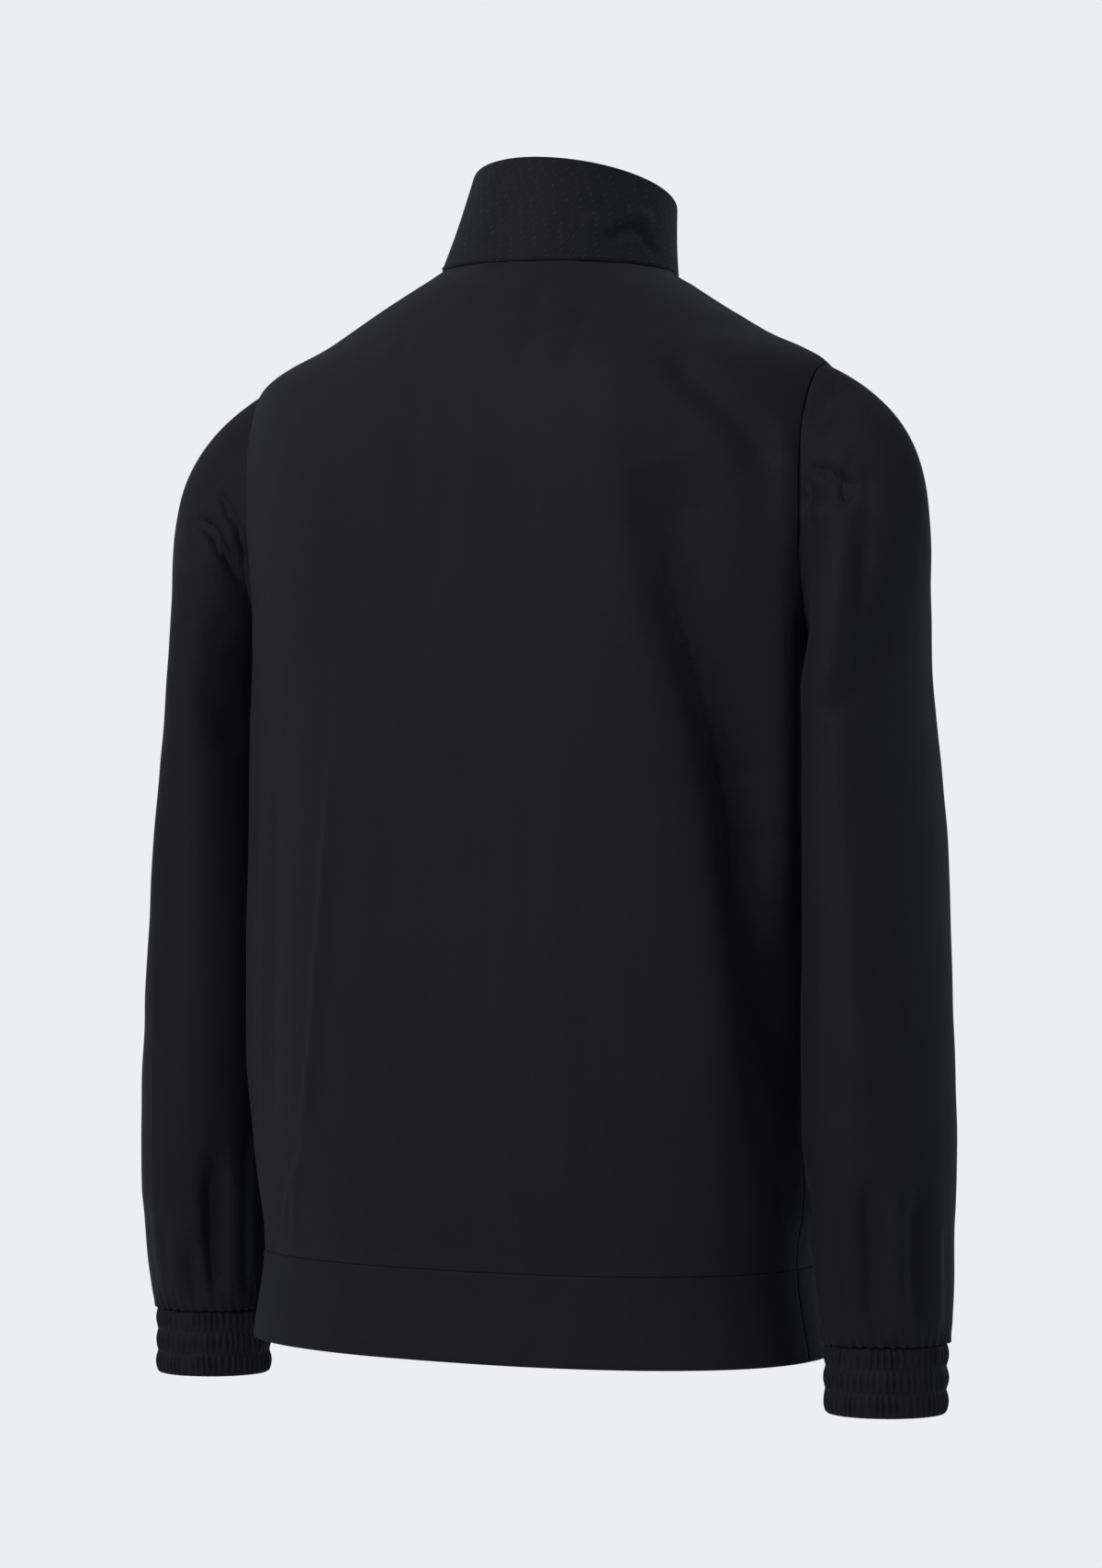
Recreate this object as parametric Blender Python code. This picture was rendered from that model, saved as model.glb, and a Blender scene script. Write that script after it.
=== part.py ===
"""Rain jacket with a stand collar, elastic cuffs and a wide hem band, hollow as it is when worn.

Every piece of cloth is a closed wall, worked out from one body surface and one surface for each sleeve.
The wearer faces -Y, the wearer's left is +X, and the origin is the middle of the neck seam.
"""

from math import cos, pi, radians, sin

import bmesh
import bpy
import numpy as np
from mathutils import Matrix

# ---------------------------------------------------------------- driving sizes, in metres
SHELL_CLOTH = 0.0014  # one layer of woven cloth, with its turnings
DOUBLE_CLOTH = 0.0022  # the two layers of the collar and of the hem band
SEAM_GAP = 0.0003  # between neighbours at a seam

SIDE_COLUMNS = 10  # columns of each front, and half of the columns of the back
ARMHOLE_ROWS = 12  # rows from the underarm to the shoulder point
LOW_ROWS = 9  # rows from the hem band's seam to the underarm
YOKE_ROWS = 5  # rows from the shoulder point to the neck seam
LOW_CROWDING, YOKE_CROWDING = 1.25, 1.4  # powers that crowd rows towards the underarm and the shoulder
BAND_ROWS = 2
COLLAR_ROWS = 4
SLEEVE_CAP_ROWS = 7
SLEEVE_TUBE_ROWS = 13
CAP_CROWDING, TUBE_CROWDING = 1.15, 0.85  # powers that crowd rows towards the armhole and the wrist

# The body from the hem up to the neck seam. A ring lies at each row, level at the sides.
# height of the ring at the sides, half width, depth behind and before its centre, the centre's y,
# rise per metre towards the back, curved drop at the front, squareness (2 is an ellipse)
BODY_COLUMNS = ("height", "half_width", "back", "front", "centre", "tilt", "drop", "square")
BODY_SECTIONS = (
    (-0.6905, 0.2040, 0.116, 0.117, 0.027, -0.01, 0.0, 2.25),  # lower edge of the hem band
    (-0.6330, 0.1950, 0.113, 0.113, 0.027, -0.01, 0.0, 2.25),  # seam of the hem band
    (-0.5800, 0.2005, 0.118, 0.117, 0.026, 0.00, 0.0, 2.30),
    (-0.4500, 0.2050, 0.119, 0.122, 0.023, 0.00, 0.0, 2.35),
    (-0.3300, 0.2055, 0.118, 0.125, 0.020, 0.00, 0.0, 2.35),
    (-0.2500, 0.2080, 0.116, 0.126, 0.019, 0.00, 0.0, 2.30),  # underarm
    (-0.1500, 0.2210, 0.106, 0.124, 0.023, 0.01, 0.8, 2.05),
    (-0.0980, 0.2230, 0.099, 0.121, 0.026, 0.02, 1.6, 1.80),
    (-0.0650, 0.2150, 0.094, 0.115, 0.025, 0.03, 2.2, 1.62),  # shoulder point
    (-0.0390, 0.1620, 0.090, 0.107, 0.018, 0.03, 3.2, 1.70),
    (-0.0120, 0.1110, 0.082, 0.094, 0.008, 0.03, 4.8, 1.88),
    (0.0050, 0.0785, 0.072, 0.079, 0.000, 0.03, 7.0, 2.00),  # neck seam
)
SEAM_SECTION, UNDERARM_SECTION, SHOULDER_SECTION = 1, 5, 8
ARMHOLE_BACK = 0.33  # how far the armhole reaches round the body, in radians
ARMHOLE_FRONT = 0.40

# The collar's upper edge
COLLAR_TOP = {
    "height": 0.0600,
    "half_width": 0.0660,
    "back": 0.0660,
    "front": 0.0670,
    "centre": -0.0200,
    "tilt": 0.26,
}
COLLAR_HOLLOW = 0.0008  # how far the collar draws in half way up

# The sleeve from the biceps to the wrist, level rings
SLEEVE_COLUMNS = ("height", "centre_x", "centre_y", "half_width", "half_depth")
SLEEVE_SECTIONS = (
    (-0.275, 0.2465, 0.028, 0.0310, 0.0590),
    (-0.360, 0.2512, 0.028, 0.0372, 0.0580),
    (-0.490, 0.2555, 0.030, 0.0430, 0.0550),
    (-0.580, 0.2575, 0.031, 0.0440, 0.0520),
    (-0.640, 0.2590, 0.030, 0.0424, 0.0485),
    (-0.664, 0.2595, 0.029, 0.0408, 0.0445),
    (-0.680, 0.2600, 0.028, 0.0378, 0.0385),
)
SLEEVE_FOLD_CLEAR = 0.06  # the folds die out this near to the armhole and the wrist, in places
RIGHT_WRIST_LIFT = 0.0060  # the right sleeve is pushed up by this much at the wrist
SLEEVE_SQUARE = 2.15
# How the cap leaves the armhole at its top, back, underarm and front: its direction, then its strength
CAP_COLUMNS = ("out", "back", "down", "strength")
CAP_TOP = (0.90, 0.00, 0.41, 1.65)
CAP_BACK = (0.90, 0.28, 0.50, 0.85)
CAP_UNDER = (0.97, 0.00, 0.25, 1.20)
CAP_FRONT = (0.90, -0.15, 0.50, 0.90)
CAP_ARRIVE = 1.05
CAP_CLEAR = 0.0004  # between the sleeve and the body at the armhole, measured along the body's cloth
CAP_TURNED = 1.3  # the added clearance where the sleeve turns back over the body, as a share of that turn

# Large folds of the body: angle round the body (0 is the wearer's left, 90 the middle of the back)
# and height at both ends, in degrees and metres, then width and rise. A trough has a negative rise.
FOLD_COLUMNS = ("angle_0", "height_0", "angle_1", "height_1", "width", "rise")
FOLD_FADE, FOLD_END = 0.22, 0.35  # a fold fades over this share of its length, to this share of its rise
BODY_FOLDS = (
    (124.0, -0.150, 144.0, -0.355, 0.026, -0.0100),  # trough beside the right shoulder blade
    (143.0, -0.330, 167.0, -0.557, 0.027, -0.0090),
    (160.0, -0.120, 166.0, -0.420, 0.016, 0.0070),  # the roll that hangs at the right armhole
    (134.0, -0.063, 156.0, -0.134, 0.013, -0.0035),
    (28.0, -0.240, 24.0, -0.560, 0.020, 0.0045),  # the roll below the left armhole
    (46.0, -0.300, 42.0, -0.560, 0.024, -0.0035),
    (-36.0, -0.150, -40.0, -0.450, 0.026, -0.0060),
    (216.0, -0.150, 220.0, -0.450, 0.026, -0.0060),
    (-22.0, -0.220, -24.0, -0.520, 0.020, 0.0045),
    (202.0, -0.220, 204.0, -0.520, 0.020, 0.0045),
    (-64.0, -0.300, -60.0, -0.580, 0.030, 0.0040),
    (246.0, -0.280, 242.0, -0.580, 0.030, 0.0035),
)

# Large folds of each sleeve: angle round the sleeve (0 is outwards, 90 back, 180 towards the body)
LEFT_SLEEVE_FOLDS = (
    (96.0, -0.151, 158.0, -0.214, 0.0095, -0.0090),
    (108.0, -0.128, 150.0, -0.182, 0.0070, -0.0025),
    (80.0, -0.225, 150.0, -0.310, 0.0130, -0.0035),
    (300.0, -0.150, 236.0, -0.226, 0.0110, -0.0060),
    (290.0, -0.225, 225.0, -0.300, 0.0120, -0.0035),
    (131.0, -0.590, 130.0, -0.676, 0.0085, -0.0050),
    (172.0, -0.560, 174.0, -0.672, 0.0110, -0.0050),
    (108.0, -0.640, 108.0, -0.676, 0.0070, -0.0035),
    (60.0, -0.610, 62.0, -0.674, 0.0085, -0.0025),
    (10.0, -0.600, 8.0, -0.674, 0.0085, -0.0030),
    (235.0, -0.580, 238.0, -0.674, 0.0100, -0.0045),
    (300.0, -0.600, 296.0, -0.674, 0.0090, -0.0040),
)
RIGHT_SLEEVE_FOLDS = (
    (84.0, -0.131, 46.0, -0.147, 0.0085, -0.0070),
    (90.0, -0.165, 44.0, -0.195, 0.0120, -0.0030),
    (27.0, -0.234, 80.0, -0.291, 0.0120, -0.0050),
    (20.0, -0.480, 60.0, -0.530, 0.0120, -0.0025),
    (300.0, -0.150, 236.0, -0.226, 0.0110, -0.0060),
    (290.0, -0.240, 225.0, -0.310, 0.0120, -0.0035),
    (61.0, -0.580, 61.0, -0.676, 0.0090, -0.0055),
    (24.0, -0.585, 24.0, -0.676, 0.0085, -0.0045),
    (100.0, -0.600, 98.0, -0.674, 0.0090, -0.0040),
    (140.0, -0.570, 142.0, -0.674, 0.0110, -0.0045),
    (235.0, -0.590, 238.0, -0.674, 0.0100, -0.0045),
    (305.0, -0.590, 302.0, -0.674, 0.0090, -0.0035),
)

# The elastic cuff
CUFF_RADIUS = 0.0374
CUFF_TOP, CUFF_BOTTOM = -0.6803, -0.7240
CUFF_CHANNELS = 3
GATHERS = 32  # in each channel, so both cuffs have 192
GATHER_RISE = 0.0011
CHANNEL_SWELL = 0.0008  # a channel stands this far out between its stitched lines
CUFF_WALL = 0.0026
POINTS_PER_GATHER = 3
CUFF_INSIDE_POINTS = 32
CUFF_LEVELS = (0.0, 0.22, 0.5, 0.78)  # of each channel, where 0 is the stitched line
LINE_GATHER = 0.25  # the gathers' share that is left at a stitched line
CHANNEL_SHIFT = 0.6  # from one channel's gathers to the next one's, in radians, past half a wave

# The zip, measured outwards from the middle of the cloth at the centre front
FRONT_EDGE = 0.0052  # from the centre line to the edge of the cloth
TAPE_REACH = 0.0140
TAPE_FACE, TAPE_BACK = -0.0014, -0.0022
COIL_FACE = 0.0004
COIL_WIDTH = 0.0020
COIL_PARTED = 0.0012  # half the space between the two sides above the slider
ZIP_FOOT, ZIP_HEAD = 0.0120, 0.0040  # the tapes end this far above the hem and below the collar's edge
BOX_FOOT, BOX_RISE = 0.0008, 0.0006  # the box starts this far above the hem, and stands above the coil
SLIDER_DOWN = 0.0150  # from the collar's edge to the slider's middle
SLIDER_LENGTH, SLIDER_WIDTH = 0.0125, 0.0090
SLIDER_PLATE = 0.0012
SLIDER_RIM, SLIDER_CORNER = 0.0009, 0.0018
RUNNING_GAP = 0.0003
PULL_BAR = 0.0008  # radius of the bar that the pull turns on
BRIDGE_CLEAR = 0.0006  # between that bar and the bridge over it
PULL_LENGTH, PULL_WIDTH, PULL_THICK = 0.0300, 0.0070, 0.0014
PULL_EYE = 0.0052  # from the bar's middle to the blade
PULL_ARM = 0.0018  # width of each arm, and from the middle to the arm
PULL_ARM_END = 0.0004  # how far the arms go on past the bar's middle
PULL_CORNER = 0.0016
POST_HALF, POST_FOOT, POST_HEAD = 0.0009, 0.0016, 0.0046  # half width, then both ends along the zip
BRIDGE_HALF, PILLAR_NEAR, PILLAR_FAR = 0.0010, 0.0020, 0.0034
RIM_SHORT = 0.0022  # the slider's rims end this far from its ends
RIM_CLEAR = 0.0004  # and stay this far from the tape
FUSE = 0.0003  # how far joined solids reach into each other


# ---------------------------------------------------------------- small helpers
def through(knots, values, at):
    """A smooth curve through values at knots, read at each number of at: cubic pieces whose slope at a
    knot is that of the line between its two neighbours. Past its ends it goes on straight."""
    knots, values, at = np.asarray(knots, float), np.asarray(values, float), np.asarray(at, float)
    slopes = np.gradient(values, knots)
    slopes[1:-1] = (values[2:] - values[:-2]) / (knots[2:] - knots[:-2])
    inside = np.clip(at, knots[0], knots[-1])
    i = np.clip(np.searchsorted(knots, inside, side="right") - 1, 0, len(knots) - 2)
    span = knots[i + 1] - knots[i]
    t = (inside - knots[i]) / span
    past = (at - inside) * np.where(at < knots[0], slopes[0], slopes[-1])
    return (
        (2 * t**3 - 3 * t**2 + 1) * values[i]
        + (t**3 - 2 * t**2 + t) * span * slopes[i]
        + (3 * t**2 - 2 * t**3) * values[i + 1]
        + (t**3 - t**2) * span * slopes[i + 1]
        + past
    )


def unit(vectors):
    return vectors / np.linalg.norm(vectors, axis=-1, keepdims=True)


def round_factor(angle, square):
    """How far a ring of that squareness stands out from an ellipse at an angle."""
    return (np.abs(np.cos(angle)) ** square + np.abs(np.sin(angle)) ** square) ** (-1 / square)


def fold_rise(points, folds):
    """The rise that a list of folds gives to points: a bell across each fold's line, fading at its ends."""
    rise = np.zeros(points.shape[:-1])
    for start, end, width, height in folds:
        along = end - start
        share = np.clip(((points - start) @ along) / (along @ along), 0, 1)
        away = np.linalg.norm(points - (start + share[..., None] * along), axis=-1)
        fade = np.clip(np.minimum(share, 1 - share) / FOLD_FADE + FOLD_END, 0, 1)
        rise += height * fade * np.exp(-((away / width) ** 2))
    return rise


def normals(surface, u, v, step_u=2e-3, step_v=5e-4):
    """Unit normals of surface(u, v), from the points a small step away on each side."""
    along_u = surface(u + step_u, v) - surface(u - step_u, v)
    along_v = surface(u, v + step_v) - surface(u, v - step_v)
    return unit(np.cross(along_u, along_v))


# ---------------------------------------------------------------- the body's surface
BODY = {name: np.array(column) for name, column in zip(BODY_COLUMNS, zip(*BODY_SECTIONS))}
# A row's place is its distance up the side of the body, from the hem
BODY_ROWS = np.concatenate(
    [[0], np.cumsum(np.hypot(np.diff(BODY["height"]), np.diff(BODY["half_width"])))]
)
SEAM_ROW, UNDERARM_ROW = BODY_ROWS[SEAM_SECTION], BODY_ROWS[UNDERARM_SECTION]
SHOULDER_ROW, NECK_ROW = BODY_ROWS[SHOULDER_SECTION], BODY_ROWS[-1]


def ring_point(angle, size):
    """A point of a ring, at an angle from +X towards the back."""
    factor = round_factor(angle, size["square"])
    deep = np.where(np.sin(angle) > 0, size["back"], size["front"]) * np.sin(angle) * factor
    x = size["half_width"] * np.cos(angle) * factor
    z = size["height"] + size["tilt"] * deep - size["drop"] * np.minimum(deep, 0) ** 2
    return np.stack([x, size["centre"] + deep, z], -1)


def plain_body(angle, row):
    return ring_point(angle, {name: through(BODY_ROWS, BODY[name], row) for name in BODY_COLUMNS})


def body_fold_lines():
    lines = []
    for fold in BODY_FOLDS:
        named = dict(zip(FOLD_COLUMNS, fold))
        ends = [
            plain_body(
                np.array(radians(named[f"angle_{end}"])),
                np.interp(named[f"height_{end}"], BODY["height"], BODY_ROWS),
            )
            for end in (0, 1)
        ]
        lines.append((*ends, named["width"], named["rise"]))
    return lines


BODY_FOLD_LINES = body_fold_lines()


def body(angle, row):
    """The middle of the cloth of the body, with its folds."""
    angle, row = np.broadcast_arrays(np.asarray(angle, float), np.asarray(row, float))
    points = plain_body(angle, row)
    outward = normals(plain_body, angle, row)
    return points + outward * fold_rise(points, BODY_FOLD_LINES)[..., None]


# ---------------------------------------------------------------- walls
def material(name, colour, roughness, metallic=0.0):
    made = bpy.data.materials.new(name)
    made.use_nodes = True
    shader = made.node_tree.nodes["Principled BSDF"]
    shader.inputs["Base Color"].default_value = (*colour, 1)
    shader.inputs["Roughness"].default_value = roughness
    shader.inputs["Metallic"].default_value = metallic
    return made


def add_object(name, points, faces, finish, sharp=40):
    mesh = bpy.data.meshes.new(name)
    mesh.from_pydata([tuple(p) for p in points], [], faces)
    mesh.validate()
    solid = bmesh.new()
    solid.from_mesh(mesh)
    if solid.calc_volume(signed=True) < 0:
        bmesh.ops.reverse_faces(solid, faces=solid.faces[:])
    solid.to_mesh(mesh)
    solid.free()
    mesh.shade_smooth()
    mesh.set_sharp_from_angle(angle=radians(sharp))
    mesh.materials.append(finish)
    made = bpy.data.objects.new(name, mesh)
    bpy.context.scene.collection.objects.link(made)
    return made


def wall(name, outer, inner, closed, finish):
    """A closed wall between two grids of points. closed says that the columns run right round."""
    rows, columns = outer.shape[:2]
    inside = rows * columns
    faces = []
    last = columns if closed else columns - 1
    for r in range(rows - 1):
        for c in range(last):
            a, b = r * columns + c, r * columns + (c + 1) % columns
            d, e = a + columns, b + columns
            faces.append((a, b, e, d))
            faces.append((inside + a, inside + d, inside + e, inside + b))
    for c in range(last):
        a, b = c, (c + 1) % columns
        faces.append((a, inside + a, inside + b, b))
        a, b = a + (rows - 1) * columns, b + (rows - 1) * columns
        faces.append((a, b, inside + b, inside + a))
    if not closed:
        for r in range(rows - 1):
            a, b = r * columns, (r + 1) * columns
            faces.append((a, b, inside + b, inside + a))
            a, b = a + columns - 1, b + columns - 1
            faces.append((a, inside + a, inside + b, b))
    points = np.concatenate([outer.reshape(-1, 3), inner.reshape(-1, 3)])
    return add_object(name, points, faces, finish)


def inset(grid, edges):
    """Moves the named edges of a grid half a seam gap into the panel, along its cloth."""
    grid = grid.copy()
    for edge in edges:
        rim, next_in = {
            "left": (np.s_[:, 0], np.s_[:, 1]),
            "right": (np.s_[:, -1], np.s_[:, -2]),
            "foot": (np.s_[0], np.s_[1]),
            "top": (np.s_[-1], np.s_[-2]),
        }[edge]
        grid[rim] += unit(grid[next_in] - grid[rim]) * SEAM_GAP / 2
    return grid


def panel(name, angles, rows, thickness, edges, finish):
    """A panel of the body over a grid of angles and rows, thick by thickness."""
    middle = inset(body(angles, rows), edges)
    out = normals(body, angles, rows) * outward_sign(angles, rows) * thickness / 2
    return wall(name, middle + out, middle - out, False, finish)


def outward_sign(angles, rows):
    """1 where the body's normals point away from its axis, and -1 where they point to it."""
    at = (angles.shape[0] // 2, angles.shape[1] // 2)
    angle, row = angles[at], rows[at]
    away = np.array([cos(angle), sin(angle), 0.0])
    return np.sign(normals(body, np.array(angle), np.array(row)) @ away)


# ---------------------------------------------------------------- panels of the body
def body_row_places():
    """The rows from the hem band's seam to the neck, and how far each armhole reaches at each of them."""
    low = UNDERARM_ROW - (UNDERARM_ROW - SEAM_ROW) * np.linspace(1, 0, LOW_ROWS + 1)[:-1] ** LOW_CROWDING
    turn = np.linspace(0, pi, ARMHOLE_ROWS + 1)
    arm = UNDERARM_ROW + (SHOULDER_ROW - UNDERARM_ROW) * (1 - np.cos(turn)) / 2
    yoke = SHOULDER_ROW + (NECK_ROW - SHOULDER_ROW) * np.linspace(0, 1, YOKE_ROWS + 1)[1:] ** YOKE_CROWDING
    reach = np.concatenate([np.zeros(len(low)), np.sin(turn), np.zeros(len(yoke))])
    return np.concatenate([low, arm, yoke]), reach


def front_reach(rows):
    """The angle from the centre front to the cloth's edge."""
    return np.arcsin(FRONT_EDGE / through(BODY_ROWS, BODY["half_width"], rows))


def back_grid(rows, reach, columns):
    share = np.linspace(0, 1, columns + 1)
    start = ARMHOLE_BACK * reach[:, None]
    return start + (pi - 2 * start) * share, np.repeat(rows[:, None], columns + 1, 1)


def front_grid(rows, reach, columns, left):
    share = np.linspace(0, 1, columns + 1)
    start = ARMHOLE_FRONT * reach[:, None]
    angles = -(start + (pi / 2 - front_reach(rows)[:, None] - start) * share)
    if not left:
        angles = pi - angles
    return angles, np.repeat(rows[:, None], columns + 1, 1)


def make_body(cloth):
    rows, reach = body_row_places()
    grid = back_grid(rows, reach, 2 * SIDE_COLUMNS)
    panel("back", *grid, SHELL_CLOTH, ("left", "right", "foot", "top"), cloth)
    for side in ("left", "right"):
        grid = front_grid(rows, reach, SIDE_COLUMNS, side == "left")
        panel(f"front_{side}", *grid, SHELL_CLOTH, ("left", "foot", "top"), cloth)


def make_hem_band(cloth):
    rows = np.linspace(0, SEAM_ROW, BAND_ROWS + 1)
    flat = np.zeros(len(rows))
    grid = back_grid(rows, flat, 2 * SIDE_COLUMNS)
    panel("hem_band_back", *grid, DOUBLE_CLOTH, ("left", "right", "top"), cloth)
    for side in ("left", "right"):
        grid = front_grid(rows, flat, SIDE_COLUMNS, side == "left")
        panel(f"hem_band_{side}", *grid, DOUBLE_CLOTH, ("left", "top"), cloth)


# ---------------------------------------------------------------- the collar
def neck_frame(angle):
    """The neck seam's points, with the way in over the cloth and the cloth's outward normal."""
    angle = np.asarray(angle, float)
    row = np.full(angle.shape, NECK_ROW)
    point = body(angle, row)
    inward = unit(point - body(angle, row - 0.004))
    around = unit(body(angle + 0.01, row) - body(angle - 0.01, row))
    outward = unit(np.cross(around, inward))
    return point, inward, outward


def collar(angle, share):
    """The collar's cloth at an angle and a share of its height."""
    angle, share = np.broadcast_arrays(np.asarray(angle, float), np.asarray(share, float))
    top = ring_point(angle, {**COLLAR_TOP, "drop": 0.0, "square": 2.0})
    base, inward, outward = neck_frame(angle)
    rise = unit(top - base)
    lift = SEAM_GAP + DOUBLE_CLOTH / 2 * np.abs((rise * outward).sum(-1, keepdims=True))
    base = base + inward * lift
    away = unit(base * np.array([1.0, 1.0, 0.0]))
    hollow = COLLAR_HOLLOW * np.sin(pi * share)[..., None]
    return base + (top - base) * share[..., None] - away * hollow


def collar_edge_angle(share):
    width = BODY["half_width"][-1] + (COLLAR_TOP["half_width"] - BODY["half_width"][-1]) * share
    return np.arcsin(FRONT_EDGE / width)


def collar_grid():
    shares = np.linspace(0, 1, COLLAR_ROWS + 1)[:, None]
    edge = collar_edge_angle(shares)
    around = np.linspace(0, 1, 3 * SIDE_COLUMNS + 1)
    angles = -pi / 2 + edge + (2 * pi - 2 * edge) * around
    return angles, np.repeat(shares, angles.shape[1], 1)


def make_collar(cloth):
    angles, shares = collar_grid()
    middle = collar(angles, shares)
    out = normals(collar, angles, shares, 2e-3, 2e-2)
    away = unit(middle * np.array([1.0, 1.0, 0.0]))
    out = out * np.sign((out * away).sum(-1, keepdims=True)) * DOUBLE_CLOTH / 2
    wall("collar", middle + out, middle - out, False, cloth)


# ---------------------------------------------------------------- the sleeves
SLEEVE = {name: np.array(column) for name, column in zip(SLEEVE_COLUMNS, zip(*SLEEVE_SECTIONS))}
BICEPS, WRIST = -SLEEVE["height"][0], -SLEEVE["height"][-1]


def sleeve_ring(angle, depth, side):
    """The sleeve's plain tube at an angle (0 outwards, 90 degrees back) and a depth below the neck."""
    size = {name: through(-SLEEVE["height"], SLEEVE[name], depth) for name in SLEEVE_COLUMNS}
    factor = round_factor(angle, SLEEVE_SQUARE)
    x = size["centre_x"] + size["half_width"] * np.cos(angle) * factor
    y = size["centre_y"] + size["half_depth"] * np.sin(angle) * factor
    lift = wrist_lift(side) * np.clip((depth - BICEPS) / (WRIST - BICEPS), 0, 1)
    return np.stack([side * x, y, size["height"] + lift], -1)


def wrist_lift(side):
    return RIGHT_WRIST_LIFT if side < 0 else 0.0


def armhole(angle, side):
    """The armhole's point at an angle round the sleeve, with the way into the hole and the body's normal."""
    turn = pi - np.arccos(np.cos(angle))
    row = UNDERARM_ROW + (SHOULDER_ROW - UNDERARM_ROW) * (1 - np.cos(turn)) / 2
    reach = np.where(np.sin(angle) >= 0, ARMHOLE_BACK, -ARMHOLE_FRONT) * np.sin(turn)
    around = reach if side > 0 else pi - reach
    point = body(around, row)
    out = normals(body, around, row)
    out = out * np.sign(out[..., :1] * side)
    return point, out


def armhole_frame(angle, side):
    point, out = armhole(angle, side)
    along = unit(armhole(angle + 0.02, side)[0] - armhole(angle - 0.02, side)[0])
    into = unit(np.cross(along, out)) * side
    centre = armhole(np.array(0.0), side)[0] * 0.5 + armhole(np.array(pi), side)[0] * 0.5
    into = into * np.sign((into * (centre - point)).sum(-1, keepdims=True))
    return point, into, out


def plain_sleeve(angle, place, side):
    """The sleeve without folds. place is 0 at the armhole, 1 at the biceps and 2 at the wrist.
    The cap is a cubic curve for each angle: it leaves along the body's cloth at the shoulder, straight out
    at the underarm, and arrives along the tube."""
    angle, place = np.broadcast_arrays(np.asarray(angle, float), np.asarray(place, float))
    start, into, out = armhole_frame(angle, side)
    ways = {0.0: CAP_TOP, 0.5 * pi: CAP_BACK, pi: CAP_UNDER, 1.5 * pi: CAP_FRONT}
    leaving = sum(
        np.maximum(np.cos(angle - middle), 0)[..., None] ** 2 * np.array(way)
        for middle, way in ways.items()
    )
    strength = leaving[..., 3:]
    leave = unit(leaving[..., :3] * np.array([side, 1.0, -1.0]))
    # Where the sleeve turns back over the body's cloth, as it does below the arm, it starts further in
    over, back = (leave * out).sum(-1, keepdims=True), -(leave * into).sum(-1, keepdims=True)
    turned = CAP_TURNED * np.maximum(back, 0) / over
    start = start + into * (CAP_CLEAR + SHELL_CLOTH / 2 * (over + turned))
    end = sleeve_ring(angle, np.full(angle.shape, BICEPS), side)
    arrive = unit(sleeve_ring(angle, np.full(angle.shape, BICEPS + 0.002), side) - end)
    reach = np.linalg.norm(end - start, axis=-1, keepdims=True)
    t = np.clip(place, 0, 1)[..., None]
    cap = (
        (2 * t**3 - 3 * t**2 + 1) * start
        + (t**3 - 2 * t**2 + t) * leave * reach * strength
        + (3 * t**2 - 2 * t**3) * end
        + (t**3 - t**2) * arrive * reach * CAP_ARRIVE
    )
    # Past the ends the surface goes on straight, so that normals can be read at its rims
    cap = cap + np.minimum(place, 0)[..., None] * leave * reach * strength
    tube = sleeve_ring(angle, BICEPS + (WRIST - BICEPS) * (np.clip(place, 1, 2) - 1), side)
    tube = tube + np.array([0.0, 0.0, -1.0]) * (np.maximum(place, 2) - 2)[..., None] * (WRIST - BICEPS)
    return np.where((place <= 1)[..., None], cap, tube)


def sleeve_fold_lines(folds, side):
    """Each fold's ends on the plain sleeve. An end above the biceps is found on the cap by its height."""
    lines = []
    places = np.linspace(0, 2, 401)
    for fold in folds:
        named = dict(zip(FOLD_COLUMNS, fold))
        ends = []
        for end in (0, 1):
            angle = np.full(places.shape, radians(named[f"angle_{end}"]))
            track = plain_sleeve(angle, places, side)
            nearest = np.argmin(np.abs(track[:, 2] - named[f"height_{end}"]))
            ends.append(track[nearest])
        lines.append((*ends, named["width"], named["rise"]))
    return lines


def sleeve_surface(side):
    lines = sleeve_fold_lines(LEFT_SLEEVE_FOLDS if side > 0 else RIGHT_SLEEVE_FOLDS, side)

    def plain(angle, place):
        return plain_sleeve(angle, place, side)

    def surface(angle, place):
        points = plain(angle, place)
        out = normals(plain, angle, place, 5e-3, 5e-3)
        out = out * sleeve_sign(side)
        ends = np.clip(np.minimum(place, 2 - place) / SLEEVE_FOLD_CLEAR, 0, 1)
        return points + out * (fold_rise(points, lines) * ends)[..., None]

    return surface


def sleeve_sign(side):
    """The side's own sign for normals, which point outwards with it."""
    return -side


def make_sleeve(side, name, cloth):
    surface = sleeve_surface(side)
    angles = np.linspace(0, 2 * pi, 2 * ARMHOLE_ROWS, endpoint=False)
    cap = np.linspace(0, 1, SLEEVE_CAP_ROWS + 1)[:-1] ** CAP_CROWDING
    tube = 1 + np.linspace(0, 1, SLEEVE_TUBE_ROWS + 1) ** TUBE_CROWDING
    places = np.concatenate([cap, tube])
    angles, places = np.meshgrid(angles, places)
    middle = surface(angles, places)
    out = normals(surface, angles, places, 5e-3, 5e-3) * sleeve_sign(side) * SHELL_CLOTH / 2
    wall(name, middle + out, middle - out, True, cloth)


# ---------------------------------------------------------------- the cuffs
def cuff_level_rise(share, channel_phase, angle):
    """How far the cuff's outside stands out at a share of a channel's height: the swell between two
    stitched lines, and the gathers, which die out at the lines."""
    swell = np.sin(pi * share)
    wave = np.cos(GATHERS * angle + channel_phase)
    return CHANNEL_SWELL * swell + GATHER_RISE * wave * (LINE_GATHER + (1 - LINE_GATHER) * swell)


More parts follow.
